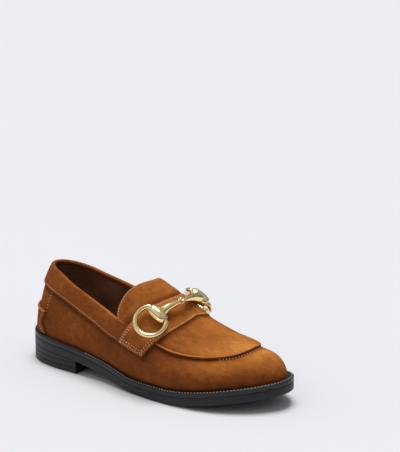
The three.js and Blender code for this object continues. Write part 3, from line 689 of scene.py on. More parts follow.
def suede_material(name, colours):
    """Brushed nap: the stored tone of the surface, with its painted light and shade, broken up by
    brushing and by fibres.
    """
    shader = Shader(name)
    tone = shader.add("ShaderNodeAttribute", attribute_name="tone").outputs["Fac"]
    brushed = shader.noise(230, 6, (0.7, 1.3, 1.3), 0.75)
    fibres = shader.noise(1500, 2, (1, 1, 1), 0.7)
    grain = shader.noise(520, 3, (1, 1, 1), 0.6)
    mixed = shader.math("MULTIPLY_ADD", brushed, 0.56, -0.28)
    speckle = shader.math("MULTIPLY_ADD", fibres, 0.4, -0.2)
    total = shader.math("ADD", shader.math("ADD", tone, mixed), speckle)
    # The ramp runs from the colour painted in shade to the colour painted in light
    stops = [
        (0.0, colours.suede_deep),
        (0.38, colours.suede_shade),
        (0.66, colours.suede_mid),
        (1.0, colours.suede_light),
    ]
    shader.colour(shader.ramp(total, stops))
    nap = shader.bump(fibres, 0.5, 0.0004)
    shader.normal(shader.bump(grain, 0.3, 0.0006, nap))
    shader.roughness(grain, 0.86, 1.0)
    shader.set(Specular_IOR_Level=0.08, Sheen_Weight=0.1, Sheen_Roughness=0.5)
    shader.set(Sheen_Tint=(*colours.suede_light, 1))
    return shader.material


def leather_material(name, colour, dark, light, rough):
    """Fine grained leather, between a darker and a lighter share of its colour."""
    shader = Shader(name)
    base = np.array(colour)
    cells = shader.add("ShaderNodeTexVoronoi")
    cells.inputs["Scale"].default_value = 900
    shader.link(shader.place, cells.inputs["Vector"])
    patches = shader.noise(60, 4)
    shader.colour(shader.ramp(patches, [(0.3, base * dark), (0.75, base * light)]))
    fine = shader.bump(shader.noise(700, 3), 0.2, 0.0002)
    shader.normal(shader.bump(cells.outputs["Distance"], 0.2, 0.0003, fine))
    shader.roughness(patches, rough - 0.08, rough + 0.1)
    return shader.material


def sole_material(name, colours, gloss):
    """Black rubber with a satin sheen."""
    shader = Shader(name)
    clouds = shader.noise(45, 4)
    fine = shader.noise(1100, 3)
    lines = shader.noise(220, 3, (0.15, 0.15, 4))
    base = np.array(colours.sole)
    shader.colour(shader.ramp(clouds, [(0.3, base * 0.75), (0.75, base * 1.3)]))
    shader.normal(shader.bump(fine, 0.12, 0.0002, shader.bump(lines, 0.08, 0.0002)))
    shader.roughness(clouds, 0.42 - gloss, 0.54 - gloss)
    shader.set(Specular_IOR_Level=0.35, Coat_Weight=0.05 + gloss, Coat_Roughness=0.3)
    return shader.material


def metal_material(name, colours):
    """Polished plating with faint scratches."""
    shader = Shader(name)
    clouds = shader.noise(150, 3)
    scratches = shader.noise(600, 3, (1, 1, 6))
    base = np.array(colours.metal)
    shader.colour(shader.ramp(clouds, [(0.2, base * 0.96), (0.8, np.minimum(base * 1.03, 1))]))
    shader.roughness(scratches, 0.1, 0.2)
    shader.normal(shader.bump(scratches, 0.03, 0.0001))
    shader.set(Metallic=1.0)
    return shader.material


def thread_material(name, colour, dark):
    """Twisted thread, with painted shade between its strands."""
    shader = Shader(name)
    base = np.array(colour)
    twist = shader.noise(2600, 2, (1, 1, 1))
    shader.colour(shader.ramp(twist, [(0.25, base * dark), (0.75, base)]))
    shader.normal(shader.bump(twist, 0.4, 0.0002))
    shader.set(Roughness=0.8, Specular_IOR_Level=0.25)
    return shader.material


MATERIALS = {}


def material(key):
    """The named finish, made once."""
    colours = bpy.context.scene.loafer_colours
    makers = {
        "suede": lambda: suede_material("tan_suede", colours),
        "lining": lambda: leather_material("lining_leather", colours.lining, 0.6, 1.5, 0.55),
        "footbed": lambda: leather_material("footbed_leather", colours.lining, 0.9, 2.2, 0.5),
        "sole": lambda: sole_material("sole_black", colours, 0.0),
        "welt": lambda: sole_material("welt_black", colours, 0.08),
        # The welt's top: dark brown leather, darkened further as painted shade under the upper
        "ledge": lambda: leather_material("welt_top", colours.ledge, 0.6, 1.3, 0.75),
        "metal": lambda: metal_material("pale_gold", colours),
        "thread": lambda: thread_material("thread_sand", colours.thread, 0.7),
        "welt_thread": lambda: thread_material("thread_grey", colours.welt_thread, 0.6),
    }
    if key not in MATERIALS:
        MATERIALS[key] = makers[key]()
    return MATERIALS[key]


# Pieces of the upper


def seam_lines():
    """Lines on the skin along which pieces are sewn on."""
    lines = []
    side = np.linspace(-1, 1, 160)
    for half in (STRAP_REAR, STRAP_FRONT):
        lines.append(bare_skin(across(half, side), over_shoe(collar_seam(half), side)))
    apron = np.linspace(STRAP_FRONT, 1 - STRAP_FRONT, 300)
    lines.append(bare_skin(apron, apron_seam(half_of(apron))))
    for halves in (np.linspace(0, STRAP_REAR, 160), np.linspace(STRAP_REAR, STRAP_FRONT, 40)):
        for turns in (halves, np.mod(1 - halves, 1.0)):
            lines.append(bare_skin(turns, collar_seam(halves)))
    for sign in (1, -1):
        lines.append(bare_skin(*backstay_side(sign, np.linspace(0, 1, 40))))
    return lines


def shell_faces(front, total):
    """Both faces of a wall and its rims, with slot 1 on the inner face."""
    sides = dict.fromkeys(
        (int(a), int(b)) for quad in front for a, b in zip(quad, np.roll(quad, -1))
    )
    rims = [[b, a, a + total, b + total] for a, b in sides if a != b and (b, a) not in sides]
    outer_faces = [list(dict.fromkeys(map(int, quad))) for quad in front]
    inner_faces = [list(dict.fromkeys(int(i) + total for i in quad[::-1])) for quad in front]
    slots = [0] * len(outer_faces) + [1] * len(inner_faces) + [0] * len(rims)
    return outer_faces + inner_faces + rims, slots


def build_upper():
    """Outer skin, wall and lining as one closed shell."""
    throat = 84
    halves = np.concatenate([
        np.linspace(0, THROAT_END, throat + 1)[:-1],
        np.linspace(THROAT_END, STRAP_FRONT, 16)[:-1],
        np.linspace(STRAP_FRONT, 0.5, 100),
    ])
    toe = len(halves) - 1
    turns = np.concatenate([halves, 1 - halves[-2:0:-1]])
    count = len(turns)
    wall_rows = np.linspace(0, 1, 46)
    crown_rows = np.linspace(0, 1, 16)[1:]
    edges = edge_climb(turns)
    climbs = np.concatenate([
        wall_rows[None] * edges[:, None],
        edges[:, None] + crown_rows[None] * (1 - edges[:, None]),
    ], 1)
    outside, normals = skin(turns[:, None], climbs)
    rows = climbs.shape[1]
    flat = normals.copy()
    flat[:, 0, 2] = 0
    inside = outside - unit(flat) * UPPER_WALL
    number = np.arange(count * rows).reshape(count, rows)
    mirror = (count - np.arange(count)) % count
    number[:, -1] = np.where(np.arange(count) <= toe, number[:, -1], number[mirror, -1])
    edge_row = len(wall_rows) - 1
    after = np.roll(number, -1, 0)
    quads = np.stack([number[:, :-1], after[:, :-1], after[:, 1:], number[:, 1:]], -1)
    cell = np.where(np.arange(count) < toe, np.arange(count), count - 1 - np.arange(count))
    keep = (np.arange(rows - 1)[None] < edge_row) | (cell[:, None] >= throat)
    faces, slots = shell_faces(quads[keep], count * rows)
    points = np.concatenate([outside.reshape(-1, 3), inside.reshape(-1, 3)])
    # Painted shade on the upper beside the seams, where pieces sewn on over it stand
    shade = shaded(rim_distance(outside, seam_lines()), 1.1, 1.7)
    # Painted shade along the foot of the upper, where it meets the welt
    shade = shade + shaded(outside[..., 2] - outside[:, :1, 2], 0.45, 1.6)
    layers = {"painted_light_shade": np.concatenate([shade.ravel(), shade.ravel()])}
    finishes = [material("suede"), material("lining")]
    piece = new_piece("suede_upper", points, faces, finishes, slots, layers=layers)
    add_tone(piece)
    return finish_piece(piece, "suede", "upper")


def build_collar_band():
    """Band round the topline: it lies on the quarters and rolls over the top edge."""
    sizes = bpy.context.scene.loafer_sizes
    thick = sizes.band_thickness / MM
    end = STRAP_REAR + 0.008
    turns = np.concatenate([np.linspace(end, 0, 130), np.linspace(1, 1 - end, 130)[1:]])
    turns = np.mod(turns, 1.0)
    half = half_of(turns)
    seam, top = collar_seam(half), topline_climb(turns)
    share = clustered(22, 0.8)
    climbs = seam[:, None] + (top - seam)[:, None] * share[None]
    points, normals = skin(turns[:, None], climbs)
    away = np.linalg.norm(points - points[:, :1], axis=-1)
    low = OVERLAY_GAP
    puff, lap = 0.15, 0.25
    height = low + thick * rounded(away, 0.9) + puff * rounded(away, 4)
    face = points + normals * height[..., None]
    peak, peak_normal = points[:, -1], normals[:, -1]
    rise = unit(points[:, -1] - points[:, -3])
    ahead, behind = low + thick + puff, UPPER_WALL + lap
    reach, centre = (ahead + behind) / 2, (ahead - behind) / 2
    angles = np.linspace(0, np.pi, 13)[1:]
    roll = (
        peak[:, None]
        + peak_normal[:, None] * (centre + reach * np.cos(angles))[None, :, None]
        + rise[:, None] * (reach * np.sin(angles) * 0.9)[None, :, None]
    )
    depth = np.array([1.2, 2.6, 3.4])
    offset = np.array([0.25, 0.22, -0.1])
    inside = (
        peak[:, None]
        - peak_normal[:, None] * (UPPER_WALL + offset)[None, :, None]
        - rise[:, None] * depth[None, :, None]
    )
    core = points[:, ::-3] + normals[:, ::-3] * low
    sections = np.concatenate([face, roll, inside, core[:, :-1]], 1)
    piece = swept_piece("suede_collar_band", sections, [material("suede")], closed=False)
    add_tone(piece, -0.03)
    return finish_piece(piece, "suede", "collar_band")


def backstay_reach(share):
    """How far the patch reaches round the heel, from its foot to its top."""
    return BACKSTAY_END * (1 + 0.05 * np.cos(share * 2 * np.pi) + 0.06 * (1 - share) ** 3)


def backstay_side(sign, share, inset=0.0):
    """Turns and climbs up one side of the patch, or a little inside it."""
    waist = backstay_reach(share)
    return np.mod(sign * (waist - inset), 1.0), BACKSTAY_TOP * collar_seam(waist) * share


def build_backstay():
    """Patch over the back seam, with a thick folded top edge."""
    sizes = bpy.context.scene.loafer_sizes
    side = clustered(90, 0.7) * 2 - 1
    share = clustered(46, 0.85)
    turns = np.mod(-side[:, None] * backstay_reach(share)[None], 1.0)
    top = BACKSTAY_TOP * collar_seam(half_of(turns))
    climbs = 0.012 + (top - 0.012) * share[None]
    points, normals = skin(turns, climbs)
    rim = [points[0], points[-1], points[:, 0], points[:, -1]]
    below = np.linalg.norm(points - points[:, -1:], axis=-1)
    lip = sizes.backstay_lip / MM * np.exp(-(((below - 1.6) / 1.3) ** 2)) * rounded(below, 1.0)
    piece = sheet_piece(
        "suede_backstay",
        points,
        normals,
        rim,
        low=0.1,
        thickness=1.3,
        radius=1.0,
        extra=lambda away: lip * rounded(away, 1.2),
        lift=0.02,
    )
    return finish_piece(piece, "suede", "backstay")


def build_strap():
    """Strap over the instep, with a groove pressed in along its seams."""
    half = STRAP_REAR + (STRAP_FRONT - STRAP_REAR) * clustered(44, 0.85)[:, None]
    side = clustered(170, 0.85)[None] * 2 - 1
    points, normals = skin(across(half, side), over_shoe(collar_seam(half), side))
    rim = [points[0], points[-1], points[:, 0], points[:, -1]]
    thickness = bpy.context.scene.loafer_sizes.strap_thickness / MM
    piece = sheet_piece(
        "suede_strap",
        points,
        normals,
        rim,
        low=OVERLAY_GAP,
        thickness=thickness,
        radius=1.0,
        extra=lambda away: pressed(away, STRAP_SEAM_INSET, 0.3, 0.5),
        lift=0.1,
    )
    return finish_piece(piece, "suede", "saddle_strap")


def build_apron():
    """Plug with a raised rim along its seam."""
    sizes = bpy.context.scene.loafer_sizes
    start = STRAP_FRONT - 0.006
    turns = np.concatenate([np.linspace(start, 0.5, 190), np.linspace(0.5, 1 - start, 190)[1:]])
    share = np.linspace(0, 1, 72) ** 1.5
    seam = apron_seam(half_of(turns))[:, None]
    climbs = seam + (1 - seam) * share[None]
    points, normals = skin(turns[:, None], climbs)
    rim = [points[:, 0]]
    # Painted highlight along the apron's raised rim
    painted_rim_highlight = np.exp(-((rim_distance(points, rim) - 0.8) ** 2) / 0.5)
    bead = sizes.apron_bead / MM

    def raised(away):
        lip = bead * np.exp(-(((away - 0.9) / 0.7) ** 4)) * rounded(away, 0.5)
        return lip + pressed(away, 2.4, 0.3, 0.7)

    side = np.linspace(-1, 1, 160)
    strap = bare_skin(across(STRAP_FRONT, side), 1 - 0.8 * np.abs(side))
    piece = sheet_piece(
        "suede_apron",
        points,
        normals,
        rim,
        low=OVERLAY_GAP - 0.2,
        thickness=1.4,
        radius=0.5,
        extra=raised,
        lift=0.03,
        # Painted shade on the apron under the strap's front edge, plus the painted rim highlight
        shade=shaded(rim_distance(points, [strap]), 0.9, 1.6) + 0.25 * painted_rim_highlight,
    )
    return finish_piece(piece, "suede", "apron")


def tongue_base():
    """Base points of the tongue, from under the strap to its rounded free edge."""
    sizes = bpy.context.scene.loafer_sizes
    reach, rise = sizes.tongue_reach / MM, sizes.tongue_rise / MM
    side = clustered(110, 0.9) * 2 - 1
    halves = np.linspace(STRAP_REAR + 0.004, THROAT_END, 10)
    turns = across(halves[:, None], side[None])
    climbs = over_shoe(edge_climb(turns), side[None])
    on_skin, skin_normals = bare_skin(turns, climbs), bare_normal(turns, climbs)
    throat = across(THROAT_END, side)
    root = bare_skin(throat, over_shoe(edge_climb(throat), side))
    middle = (root[0, 1] + root[-1, 1]) / 2
    spread = np.abs(root[:, 1] - middle) / np.abs(root[0, 1] - middle)
    full = np.sqrt(np.maximum(0, 1 - np.clip(spread, 0, 1) ** 2.4))
    steps = clustered(46, 0.8)[1:]
    reached = full[None] * steps[:, None]
    flap = np.repeat(root[None], len(steps), 0)
    flap[..., 0] -= reach * reached
    flap[..., 2] += rise * reached * (1 - 0.35 * reached)
    points = np.concatenate([on_skin, flap])
    normals = unit(np.cross(np.gradient(points, axis=1), np.gradient(points, axis=0)))
    normals = normals * np.where(normals[..., 2:3] < 0, -1, 1)
    first, last = len(halves), len(halves) + 12
    normals[:first] = skin_normals
    blend = (np.arange(last - first) / (last - first))[:, None, None]
    normals[first:last] = unit(skin_normals[-1:] * (1 - blend) + normals[first:last] * blend)
    return points, normals


def build_tongue():
    """Free flap that comes out from under the strap, with the strap's shadow painted on it there.
    """
    points, normals = tongue_base()
    rim = [points[0], points[-1], points[:10, 0], points[:10, -1]]
    row = np.arange(len(points))[:, None]
    under_strap = 1.3 * np.exp(-((row / 4.5) ** 2))
    # Painted shadow of the strap on the tongue, near the strap's edge
    painted_strap_shadow = np.exp(-((row - 2.5) ** 2) / 4)
    piece = sheet_piece(
        "suede_tongue",
        points,
        normals,
        rim,
        low=OVERLAY_GAP,
        thickness=2.5,
        radius=1.2,
        extra=lambda away: pressed(away, 2.6, 0.25, 0.6) - under_strap,
        lift=0.03,
        shade=np.broadcast_to(-0.35 * painted_strap_shadow, points.shape[:2]),
    )
    return finish_piece(piece, "suede", "tongue")


# Pieces of the sole


PLATE_COLUMNS = 9
ROUNDING_STEPS = 5


def plate_points(turns, inset, height):
    """Grid of points between the outline's two sides, at a height for each place along it."""
    left, right = inset(turns), inset(np.mod(1 - turns, 1.0))
    share = np.linspace(0, 1, PLATE_COLUMNS)
    flat = left[:, None] + (right - left)[:, None] * share[None, :, None]
    return np.concatenate([flat, height(flat[..., 0])[..., None]], -1)


def plate_piece(name, turns, levels, finish, crown=None):
    """Plate between outlines at several heights, from its top to its bottom."""
    surfaces = [plate_points(turns, inset, height) for inset, height in levels]
    if crown is not None:
        surfaces[0] = crown(surfaces[0])
    count = len(turns) * PLATE_COLUMNS
    top = grid_quads(len(turns), PLATE_COLUMNS)
    loops = [
        np.concatenate([level[:, 0], level[-1, 1:-1], level[::-1, -1], level[0, -2::-1]])
        for level in surfaces
    ]
    points = np.concatenate([level.reshape(-1, 3) for level in (surfaces[0], surfaces[-1], *loops)])
    side = grid_quads(len(loops), len(loops[0]), 2 * count)
    return new_piece(name, points, np.vstack([top, top[:, ::-1] + count, side]), [finish], sharp=40)


def edge_level(inset, height):
    return (lambda turn: inset_edge(turn, inset)), height


def flat_at(height):
    """The same height at every place along the sole."""
    return lambda x: x * 0 + height


def rounded_levels(top, bottom, radius_top, radius_bottom, steps=ROUNDING_STEPS):
    """Levels of a side that is rounded at its top and bottom edges."""
    levels = []
    for angle in np.linspace(0, np.pi / 2, steps):
        draw = radius_top * (1 - math.sin(angle))
        drop = radius_top * (1 - math.cos(angle))
        levels.append(edge_level(draw, lambda x, d=drop: top(x) - d))
    for angle in np.linspace(0, np.pi / 2, steps):
        draw = radius_bottom * (1 - math.cos(angle))
        rise = radius_bottom * (1 - math.sin(angle))
        levels.append(edge_level(draw, lambda x, d=rise: bottom(x) + d))
    return levels


def build_outsole():
    """Sole plate from heel to toe."""
    turns = np.linspace(0, 0.5, 220)
    levels = rounded_levels(
        lambda x: ground_at(x) + OUTSOLE_THICKNESS + 0.1, ground_at, 0.5, 1.1
    )
    piece = plate_piece("sole_plate", turns, levels, material("sole"))
    return finish_piece(piece, "sole_rubber", "outsole")


def lift_levels():
    """Side of the lift, with a line cut round it at half its height."""
    levels = rounded_levels(flat_at(TOP_LIFT_THICKNESS), flat_at(0.0), 0.35, 1.0)
    cut = [(0.0, 0.45), (0.45, 0.15), (0.45, -0.15), (0.0, -0.45)]
    middle = TOP_LIFT_THICKNESS / 2
    groove = [edge_level(inset, flat_at(middle + rise)) for inset, rise in cut]
    return levels[:ROUNDING_STEPS] + groove + levels[ROUNDING_STEPS:]


def build_heel():
    """Wedge and lift, up to the heel's breast."""
    turns = np.linspace(0, float(turn_of(HEEL_LENGTH / SOLE_LENGTH)) / 2, 90)
    levels = rounded_levels(
        lambda x: ground_at(x) + 0.2, flat_at(TOP_LIFT_THICKNESS + 0.1), 0.1, 0.35, steps=4
    )
    block = plate_piece("heel_block_side", turns, levels, material("sole"))
    finish_piece(block, "sole_rubber", "heel_block")
    lift = plate_piece("heel_lift_side", turns, lift_levels(), material("sole"))
    finish_piece(lift, "sole_rubber", "heel_top_lift")


# Shares of the sole's length over which the ribs fade in and out, and the welt's columns
RIBS_BEGIN = (0.43, 0.46)
RIBS_END = (0.9, 0.94)
COLUMNS_PER_RIB = 6
PLAIN_COLUMN = 1.6
WELT_EDGE_RADIUS = 0.75


def welt_columns(pitch):
    """Turns of the welt's columns and how far each lies in a groove between ribs."""
    fine = np.linspace(0, 1, 20001)
    place = sole_edge(fine)
    run = np.concatenate([[0], np.cumsum(np.linalg.norm(np.diff(place, axis=0), axis=1))])
    share = share_of(fine)
    ribbed = smoothstep(share, *RIBS_BEGIN) * (1 - smoothstep(share, *RIBS_END))
    step = np.where(ribbed > 0, pitch / COLUMNS_PER_RIB, PLAIN_COLUMN)
    density = np.concatenate([[0], np.cumsum(np.diff(run) / step[1:])])
    count = int(density[-1])
    turns = np.interp(np.arange(count) * density[-1] / count, density, fine)
    at = np.interp(turns, fine, run)
    strength = np.interp(turns, fine, ribbed)
    groove = (0.5 - 0.5 * np.cos(2 * np.pi * at / pitch)) ** 1.5 * strength
    return turns, groove


def build_welt():
    """Stitched ledge round the upper, with short upright ribs on the side of the forefoot."""
    sizes = bpy.context.scene.loafer_sizes
    turns, groove = welt_columns(sizes.rib_pitch / MM)
    depth = sizes.rib_depth / MM
    ledge = welt_ledge(turns)
    band = ledge + WELT_INNER_BAND
    seam = ledge * WELT_SEAM_SHARE
    top_inset = [band, ledge + 1.5, ledge - 0.2, ledge * 0.46, seam, ledge * 0.2]
    top_drop = [0, 0, 0, 0, 0.25, 0.05]
    section = [(inset, drop, 0.0) for inset, drop in zip(top_inset, top_drop)]
    for angle in np.linspace(0, np.pi / 2, 5):
        inset, drop = 1 - math.sin(angle), 1 - math.cos(angle)
        section.append((WELT_EDGE_RADIUS * inset, WELT_EDGE_RADIUS * drop, math.sin(angle)))
    section += [(0.0, 1.3, 1.0), (0.0, 2.0, 1.0), (0.0, 2.8, 1.0), (0.0, 3.5, 0.6)]
    foot = WELT_THICKNESS - 0.1
    section += [(0.15, WELT_THICKNESS - 0.45, 0.0), (0.55, foot, 0.0), (band, foot, 0.0)]
    rings = []
    for inset, drop, ribs in section:
        flat = inset_edge(turns, inset + depth * ribs * groove)
        height = seat_at(flat[:, 0]) - drop
        rings.append(np.concatenate([flat, height[:, None]], 1))
    sections = np.stack(rings, 1)
    slots = np.tile(np.arange(len(section)) < len(top_inset), len(turns))
    finishes = [material("welt"), material("ledge")]
    piece = swept_piece("welt_band", sections, finishes, closed=True, face_slots=slots, sharp=60)
    return finish_piece(piece, "sole_rubber", "welt")


def build_footbed():
    """Footbed inside the upper, cupped across, with a core in the welt's middle."""
    turns = np.linspace(0, 0.5, 160)
    inset = UPPER_WALL + 2 * SEAT_CLEARANCE

    def level(draw, rise):
        return (lambda turn: feather(turn, inset + draw)), (lambda x: seat_at(x) + rise)

    top = 1.8
    levels = [
        level(1.2, top),
        level(0.35, top - 0.3),
        level(0.0, top - 1.0),
        level(0.0, SEAT_CLEARANCE),
        level(3.0, SEAT_CLEARANCE),
        level(3.6, -2.5),
    ]

    def cupped(surface):
        share = np.linspace(-1, 1, surface.shape[1])
        surface[..., 2] += 0.35 * (share**2)[None] - 0.15
        return surface

    piece = plate_piece("footbed", turns, levels, material("footbed"), cupped)
    return finish_piece(piece, "lining_leather", "insole")


# The bit


def solid_skin(turn, climb):
    """Point of the skin as the solids have it, where the bit is seated."""
    turn, climb = np.asarray(turn, float), np.asarray(climb, float)
    return last_point(leaning_turn(turn, climb), climb)


def skin_frame(turn, climb):
    """A place on the skin with its normal and its direction towards the toe."""
    step = 1e-3
    along = unit(solid_skin(turn + step, climb) - solid_skin(turn - step, climb))
    up = unit(solid_skin(turn, climb + step) - solid_skin(turn, climb - step))
    ahead = along if turn < 0.5 else -along
    return solid_skin(turn, climb), unit(np.cross(along, up)), ahead


def bit_places():
    """Head, eye and directions of both halves of the bit."""
    turn = STRAP_REAR + (STRAP_FRONT - STRAP_REAR) * BIT_HEAD_SHARE
    joint_turn = STRAP_REAR + (STRAP_FRONT - STRAP_REAR) * BIT_JOINT_SHARE
    seat = OVERLAY_GAP + STRAP_THICKNESS + BIT_SEAT_GAP
    top, top_normal, _ = skin_frame(joint_turn, BIT_JOINT_CLIMB)
    joint = top + top_normal * (seat + BIT_JOINT_LIFT + BIT_EYE_DIAMETER / 2)
    places = {}
    for side, at in (("lateral", turn), ("medial", 1 - turn)):
        point, normal, ahead = skin_frame(at, BIT_HEAD_CLIMB[side])
        head = point + normal * (seat + BIT_BARREL_DIAMETER / 2)
        down = np.cross(normal, ahead)
        down = down if down[2] < 0 else -down
        towards = unit(joint - head)
        sideways = unit(np.cross([0, 0, 1.0], towards))
        places[side] = {
            "head": head,
            "ahead": ahead,
            "bow": unit(down + normal * BIT_BOW_SHARE),
            "towards": towards,
            "sideways": sideways,
            "arch": np.cross(towards, sideways),
            "eye": joint - towards * (BIT_EYE_DIAMETER - BIT_EYE_WIRE) / 4,
        }
    return places


def build_bit():
    """Both rings of the bit and the two halves of its mouthpiece."""
    metal = material("metal")
    for side, at in bit_places().items():
        bar, bow = at["ahead"], at["bow"]
        spots = []
        straight = BIT_BARREL_LENGTH / 2 + BIT_RING_CORNER / 3
        for share in (-1, -0.5, 0, 0.5, 1):
            spots.append(at["head"] + bar * share * straight)
        radius = BIT_RING_DIAMETER / 2
        start = math.acos((BIT_RING_OFFSET - BIT_RING_CORNER) / radius)
        for angle in np.linspace(start, 2 * np.pi - start, 17):
            reach = BIT_RING_OFFSET - radius * math.cos(angle)
            spots.append(at["head"] + bar * radius * math.sin(angle) + bow * reach)
        path = loop_through(spots, 150)
        ring = tube(path, BIT_RING_WIRE / 2, 22, unit(np.cross(bar, bow)))
        piece = swept_piece(f"gold_ring_{side}", ring, [metal], closed=True)
        finish_piece(piece, "bit_metal", f"bit_ring_{side}")
        build_link(side, at, metal)


def build_link(side, at, metal):
    """Barrel head with its bore, tapered shank and eye."""
    head, bar, towards, arch = at["head"], at["ahead"], at["towards"], at["arch"]
    radius, half = BIT_BARREL_DIAMETER / 2, BIT_BARREL_LENGTH / 2
    bore = BIT_RING_WIRE / 2 + BIT_BORE_CLEARANCE
    share = np.sin(np.linspace(-np.pi / 2, np.pi / 2, 25))
    domed = BIT_BARREL_END + (1 - BIT_BARREL_END) * np.sqrt(np.maximum(0, 1 - share**2))
    lip, mouth = radius * BIT_BORE_LIP, half * BIT_BORE_MOUTH
    profile = [(bore, -mouth), (lip, -half), *zip(radius * domed, half * share)]
    profile += [(lip, half), (bore, mouth)]
    first = unit(np.cross(bar, arch))
    second = np.cross(bar, first)
    sections = []
    for angle in np.linspace(0, 2 * np.pi, 56, endpoint=False):
        out = first * math.cos(angle) + second * math.sin(angle)
        sections.append([head + out * r + bar * h for r, h in profile])
    bodies = [(np.array(sections), True)]
    distance = np.linalg.norm(at["eye"] - head)
    eye_radius = (BIT_EYE_DIAMETER - BIT_EYE_WIRE) / 2
    start, end = (bore + radius) / 2, distance - eye_radius
    u = np.linspace(0, 1, 30)
    lift = 2 * BIT_SHANK_ARCH * 2 * u * (1 - u)
    spine = head + towards * (start + (end - start) * u)[:, None] + arch * lift[:, None]
    thick = BIT_SHANK_DIAMETER / 2 + (BIT_SHANK_NECK - BIT_SHANK_DIAMETER) / 2 * u
    thick = thick + 1.0 * np.exp(-u * 9)
    bodies.append((tube(spine, thick, 24, at["sideways"], closed=False), False))
    normal = at["sideways"] if side == "lateral" else arch
    other = np.cross(normal, towards)
    angles = np.linspace(0, 2 * np.pi, 40, endpoint=False)
    circle = at["eye"] + eye_radius * (
        towards * np.cos(angles)[:, None] + other * np.sin(angles)[:, None]
    )
    bodies.append((tube(circle, BIT_EYE_WIRE / 2, 14, normal), True))
    points, faces = np.empty((0, 3)), []
    for sections, closed in bodies:
        added, sides = swept_faces(sections, closed, len(points))
        points, faces = np.concatenate([points, added]), faces + sides
    piece = new_piece(f"gold_link_{side}", points, faces, [metal], sharp=40)
    return finish_piece(piece, "bit_metal", f"bit_link_{side}")


# Stitches


def stitch_tree():
    """Node tree that sews a row of threads along lines of points."""
    tree = bpy.data.node_groups.new("Stitch Row", "GeometryNodeTree")
    face = tree.interface
    face.new_socket("Geometry", in_out="INPUT", socket_type="NodeSocketGeometry")
    for name, value in (("Pitch", 0.0026), ("Length", 0.0019), ("Thickness", 0.0006)):
        socket = face.new_socket(name, in_out="INPUT", socket_type="NodeSocketFloat")
        socket.default_value = value
    seed = face.new_socket("Seed", in_out="INPUT", socket_type="NodeSocketInt")
    seed.default_value = 7
    face.new_socket("Thread", in_out="INPUT", socket_type="NodeSocketMaterial")
    face.new_socket("Geometry", in_out="OUTPUT", socket_type="NodeSocketGeometry")
    add = tree.nodes.new
    given, made = add("NodeGroupInput"), add("NodeGroupOutput")
    to_curve, resample = add("GeometryNodeMeshToCurve"), add("GeometryNodeResampleCurve")
    resample.mode = "LENGTH"
    tangent, outward = add("GeometryNodeInputTangent"), add("GeometryNodeInputNamedAttribute")
    outward.data_type = "FLOAT_VECTOR"
    outward.inputs["Name"].default_value = "outward"
    aim, tilt = add("FunctionNodeAlignRotationToVector"), add("FunctionNodeAlignRotationToVector")
    aim.axis, tilt.axis, tilt.pivot_axis = "X", "Z", "X"
    ball, flat = add("GeometryNodeMeshUVSphere"), add("GeometryNodeTransform")
    ball.inputs["Segments"].default_value, ball.inputs["Rings"].default_value = 8, 6
    ball.inputs["Radius"].default_value = 0.5
    size, place = add("ShaderNodeCombineXYZ"), add("GeometryNodeInstanceOnPoints")
    vary, realize = add("FunctionNodeRandomValue"), add("GeometryNodeRealizeInstances")
    vary.inputs[2].default_value, vary.inputs[3].default_value = 0.88, 1.06
    smooth, paint = add("GeometryNodeSetShadeSmooth"), add("GeometryNodeSetMaterial")
    wires = (
        (given, "Geometry", to_curve, "Mesh"),
        (to_curve, "Curve", resample, "Curve"),
        (given, "Pitch", resample, "Length"),
        (tangent, "Tangent", aim, "Vector"),
        (aim, "Rotation", tilt, "Rotation"),
        (outward, "Attribute", tilt, "Vector"),
        (given, "Length", size, "X"),
        (given, "Thickness", size, "Y"),
        (given, "Thickness", size, "Z"),
        (ball, "Mesh", flat, "Geometry"),
        (size, "Vector", flat, "Scale"),
        (resample, "Curve", place, "Points"),
        (flat, "Geometry", place, "Instance"),
        (tilt, "Rotation", place, "Rotation"),
        (given, "Seed", vary, "Seed"),
        (vary, 1, place, "Scale"),
        (place, "Instances", realize, "Geometry"),
        (realize, "Geometry", smooth, "Geometry"),
        (smooth, "Geometry", paint, "Geometry"),
        (given, "Thread", paint, "Material"),
        (paint, "Geometry", made, "Geometry"),
    )
    for source, output, node, socket in wires:
        tree.links.new(source.outputs[output], node.inputs[socket])
    return tree


def sew(name, lines, thread, pitch, length, thickness, slot, seed):
    """Threads along lines, each a pair of points and outward directions."""
    if "Stitch Row" not in bpy.data.node_groups:
        stitch_tree()
    tree = bpy.data.node_groups["Stitch Row"]
    points, edges, outward = [], [], []
    for line, directions in lines:
        first = len(points)
        points.extend(((line + SHIFT) * MM).tolist())
        outward.extend(directions.tolist())
        edges.extend((first + i, first + i + 1) for i in range(len(line) - 1))
    mesh = bpy.data.meshes.new(name + "_line")
    mesh.from_pydata(points, edges, [])
    layer = mesh.attributes.new("outward", "FLOAT_VECTOR", "POINT")
    layer.data.foreach_set("vector", np.asarray(outward, np.float32).ravel())
    guide = bpy.data.objects.new(name + "_line", mesh)
    bpy.context.scene.collection.objects.link(guide)
    modifier = guide.modifiers.new("Stitches", "NODES")
    modifier.node_group = tree
    values = {
        "Pitch": pitch * MM,
        "Length": length * MM,
        "Thickness": thickness * MM,
        "Seed": seed,
        "Thread": thread,
    }
    for item in tree.interface.items_tree:
        if item.in_out == "INPUT" and item.name in values:
            modifier[item.identifier] = values[item.name]
    graph = bpy.context.evaluated_depsgraph_get()
    sewn = bpy.data.meshes.new_from_object(guide.evaluated_get(graph), depsgraph=graph)
    sewn.name = name
    piece = bpy.data.objects.new(name, sewn)
    bpy.context.scene.collection.objects.link(piece)
    guide.modifiers.remove(modifier)
    bpy.data.objects.remove(guide)
    return finish_piece(piece, slot)


def moved_in(line, distance):
    """Line on the skin moved sideways by a distance."""
    points, normals = line
    along = unit(np.gradient(points, axis=0))
    return points + unit(np.cross(normals, along)) * distance, normals


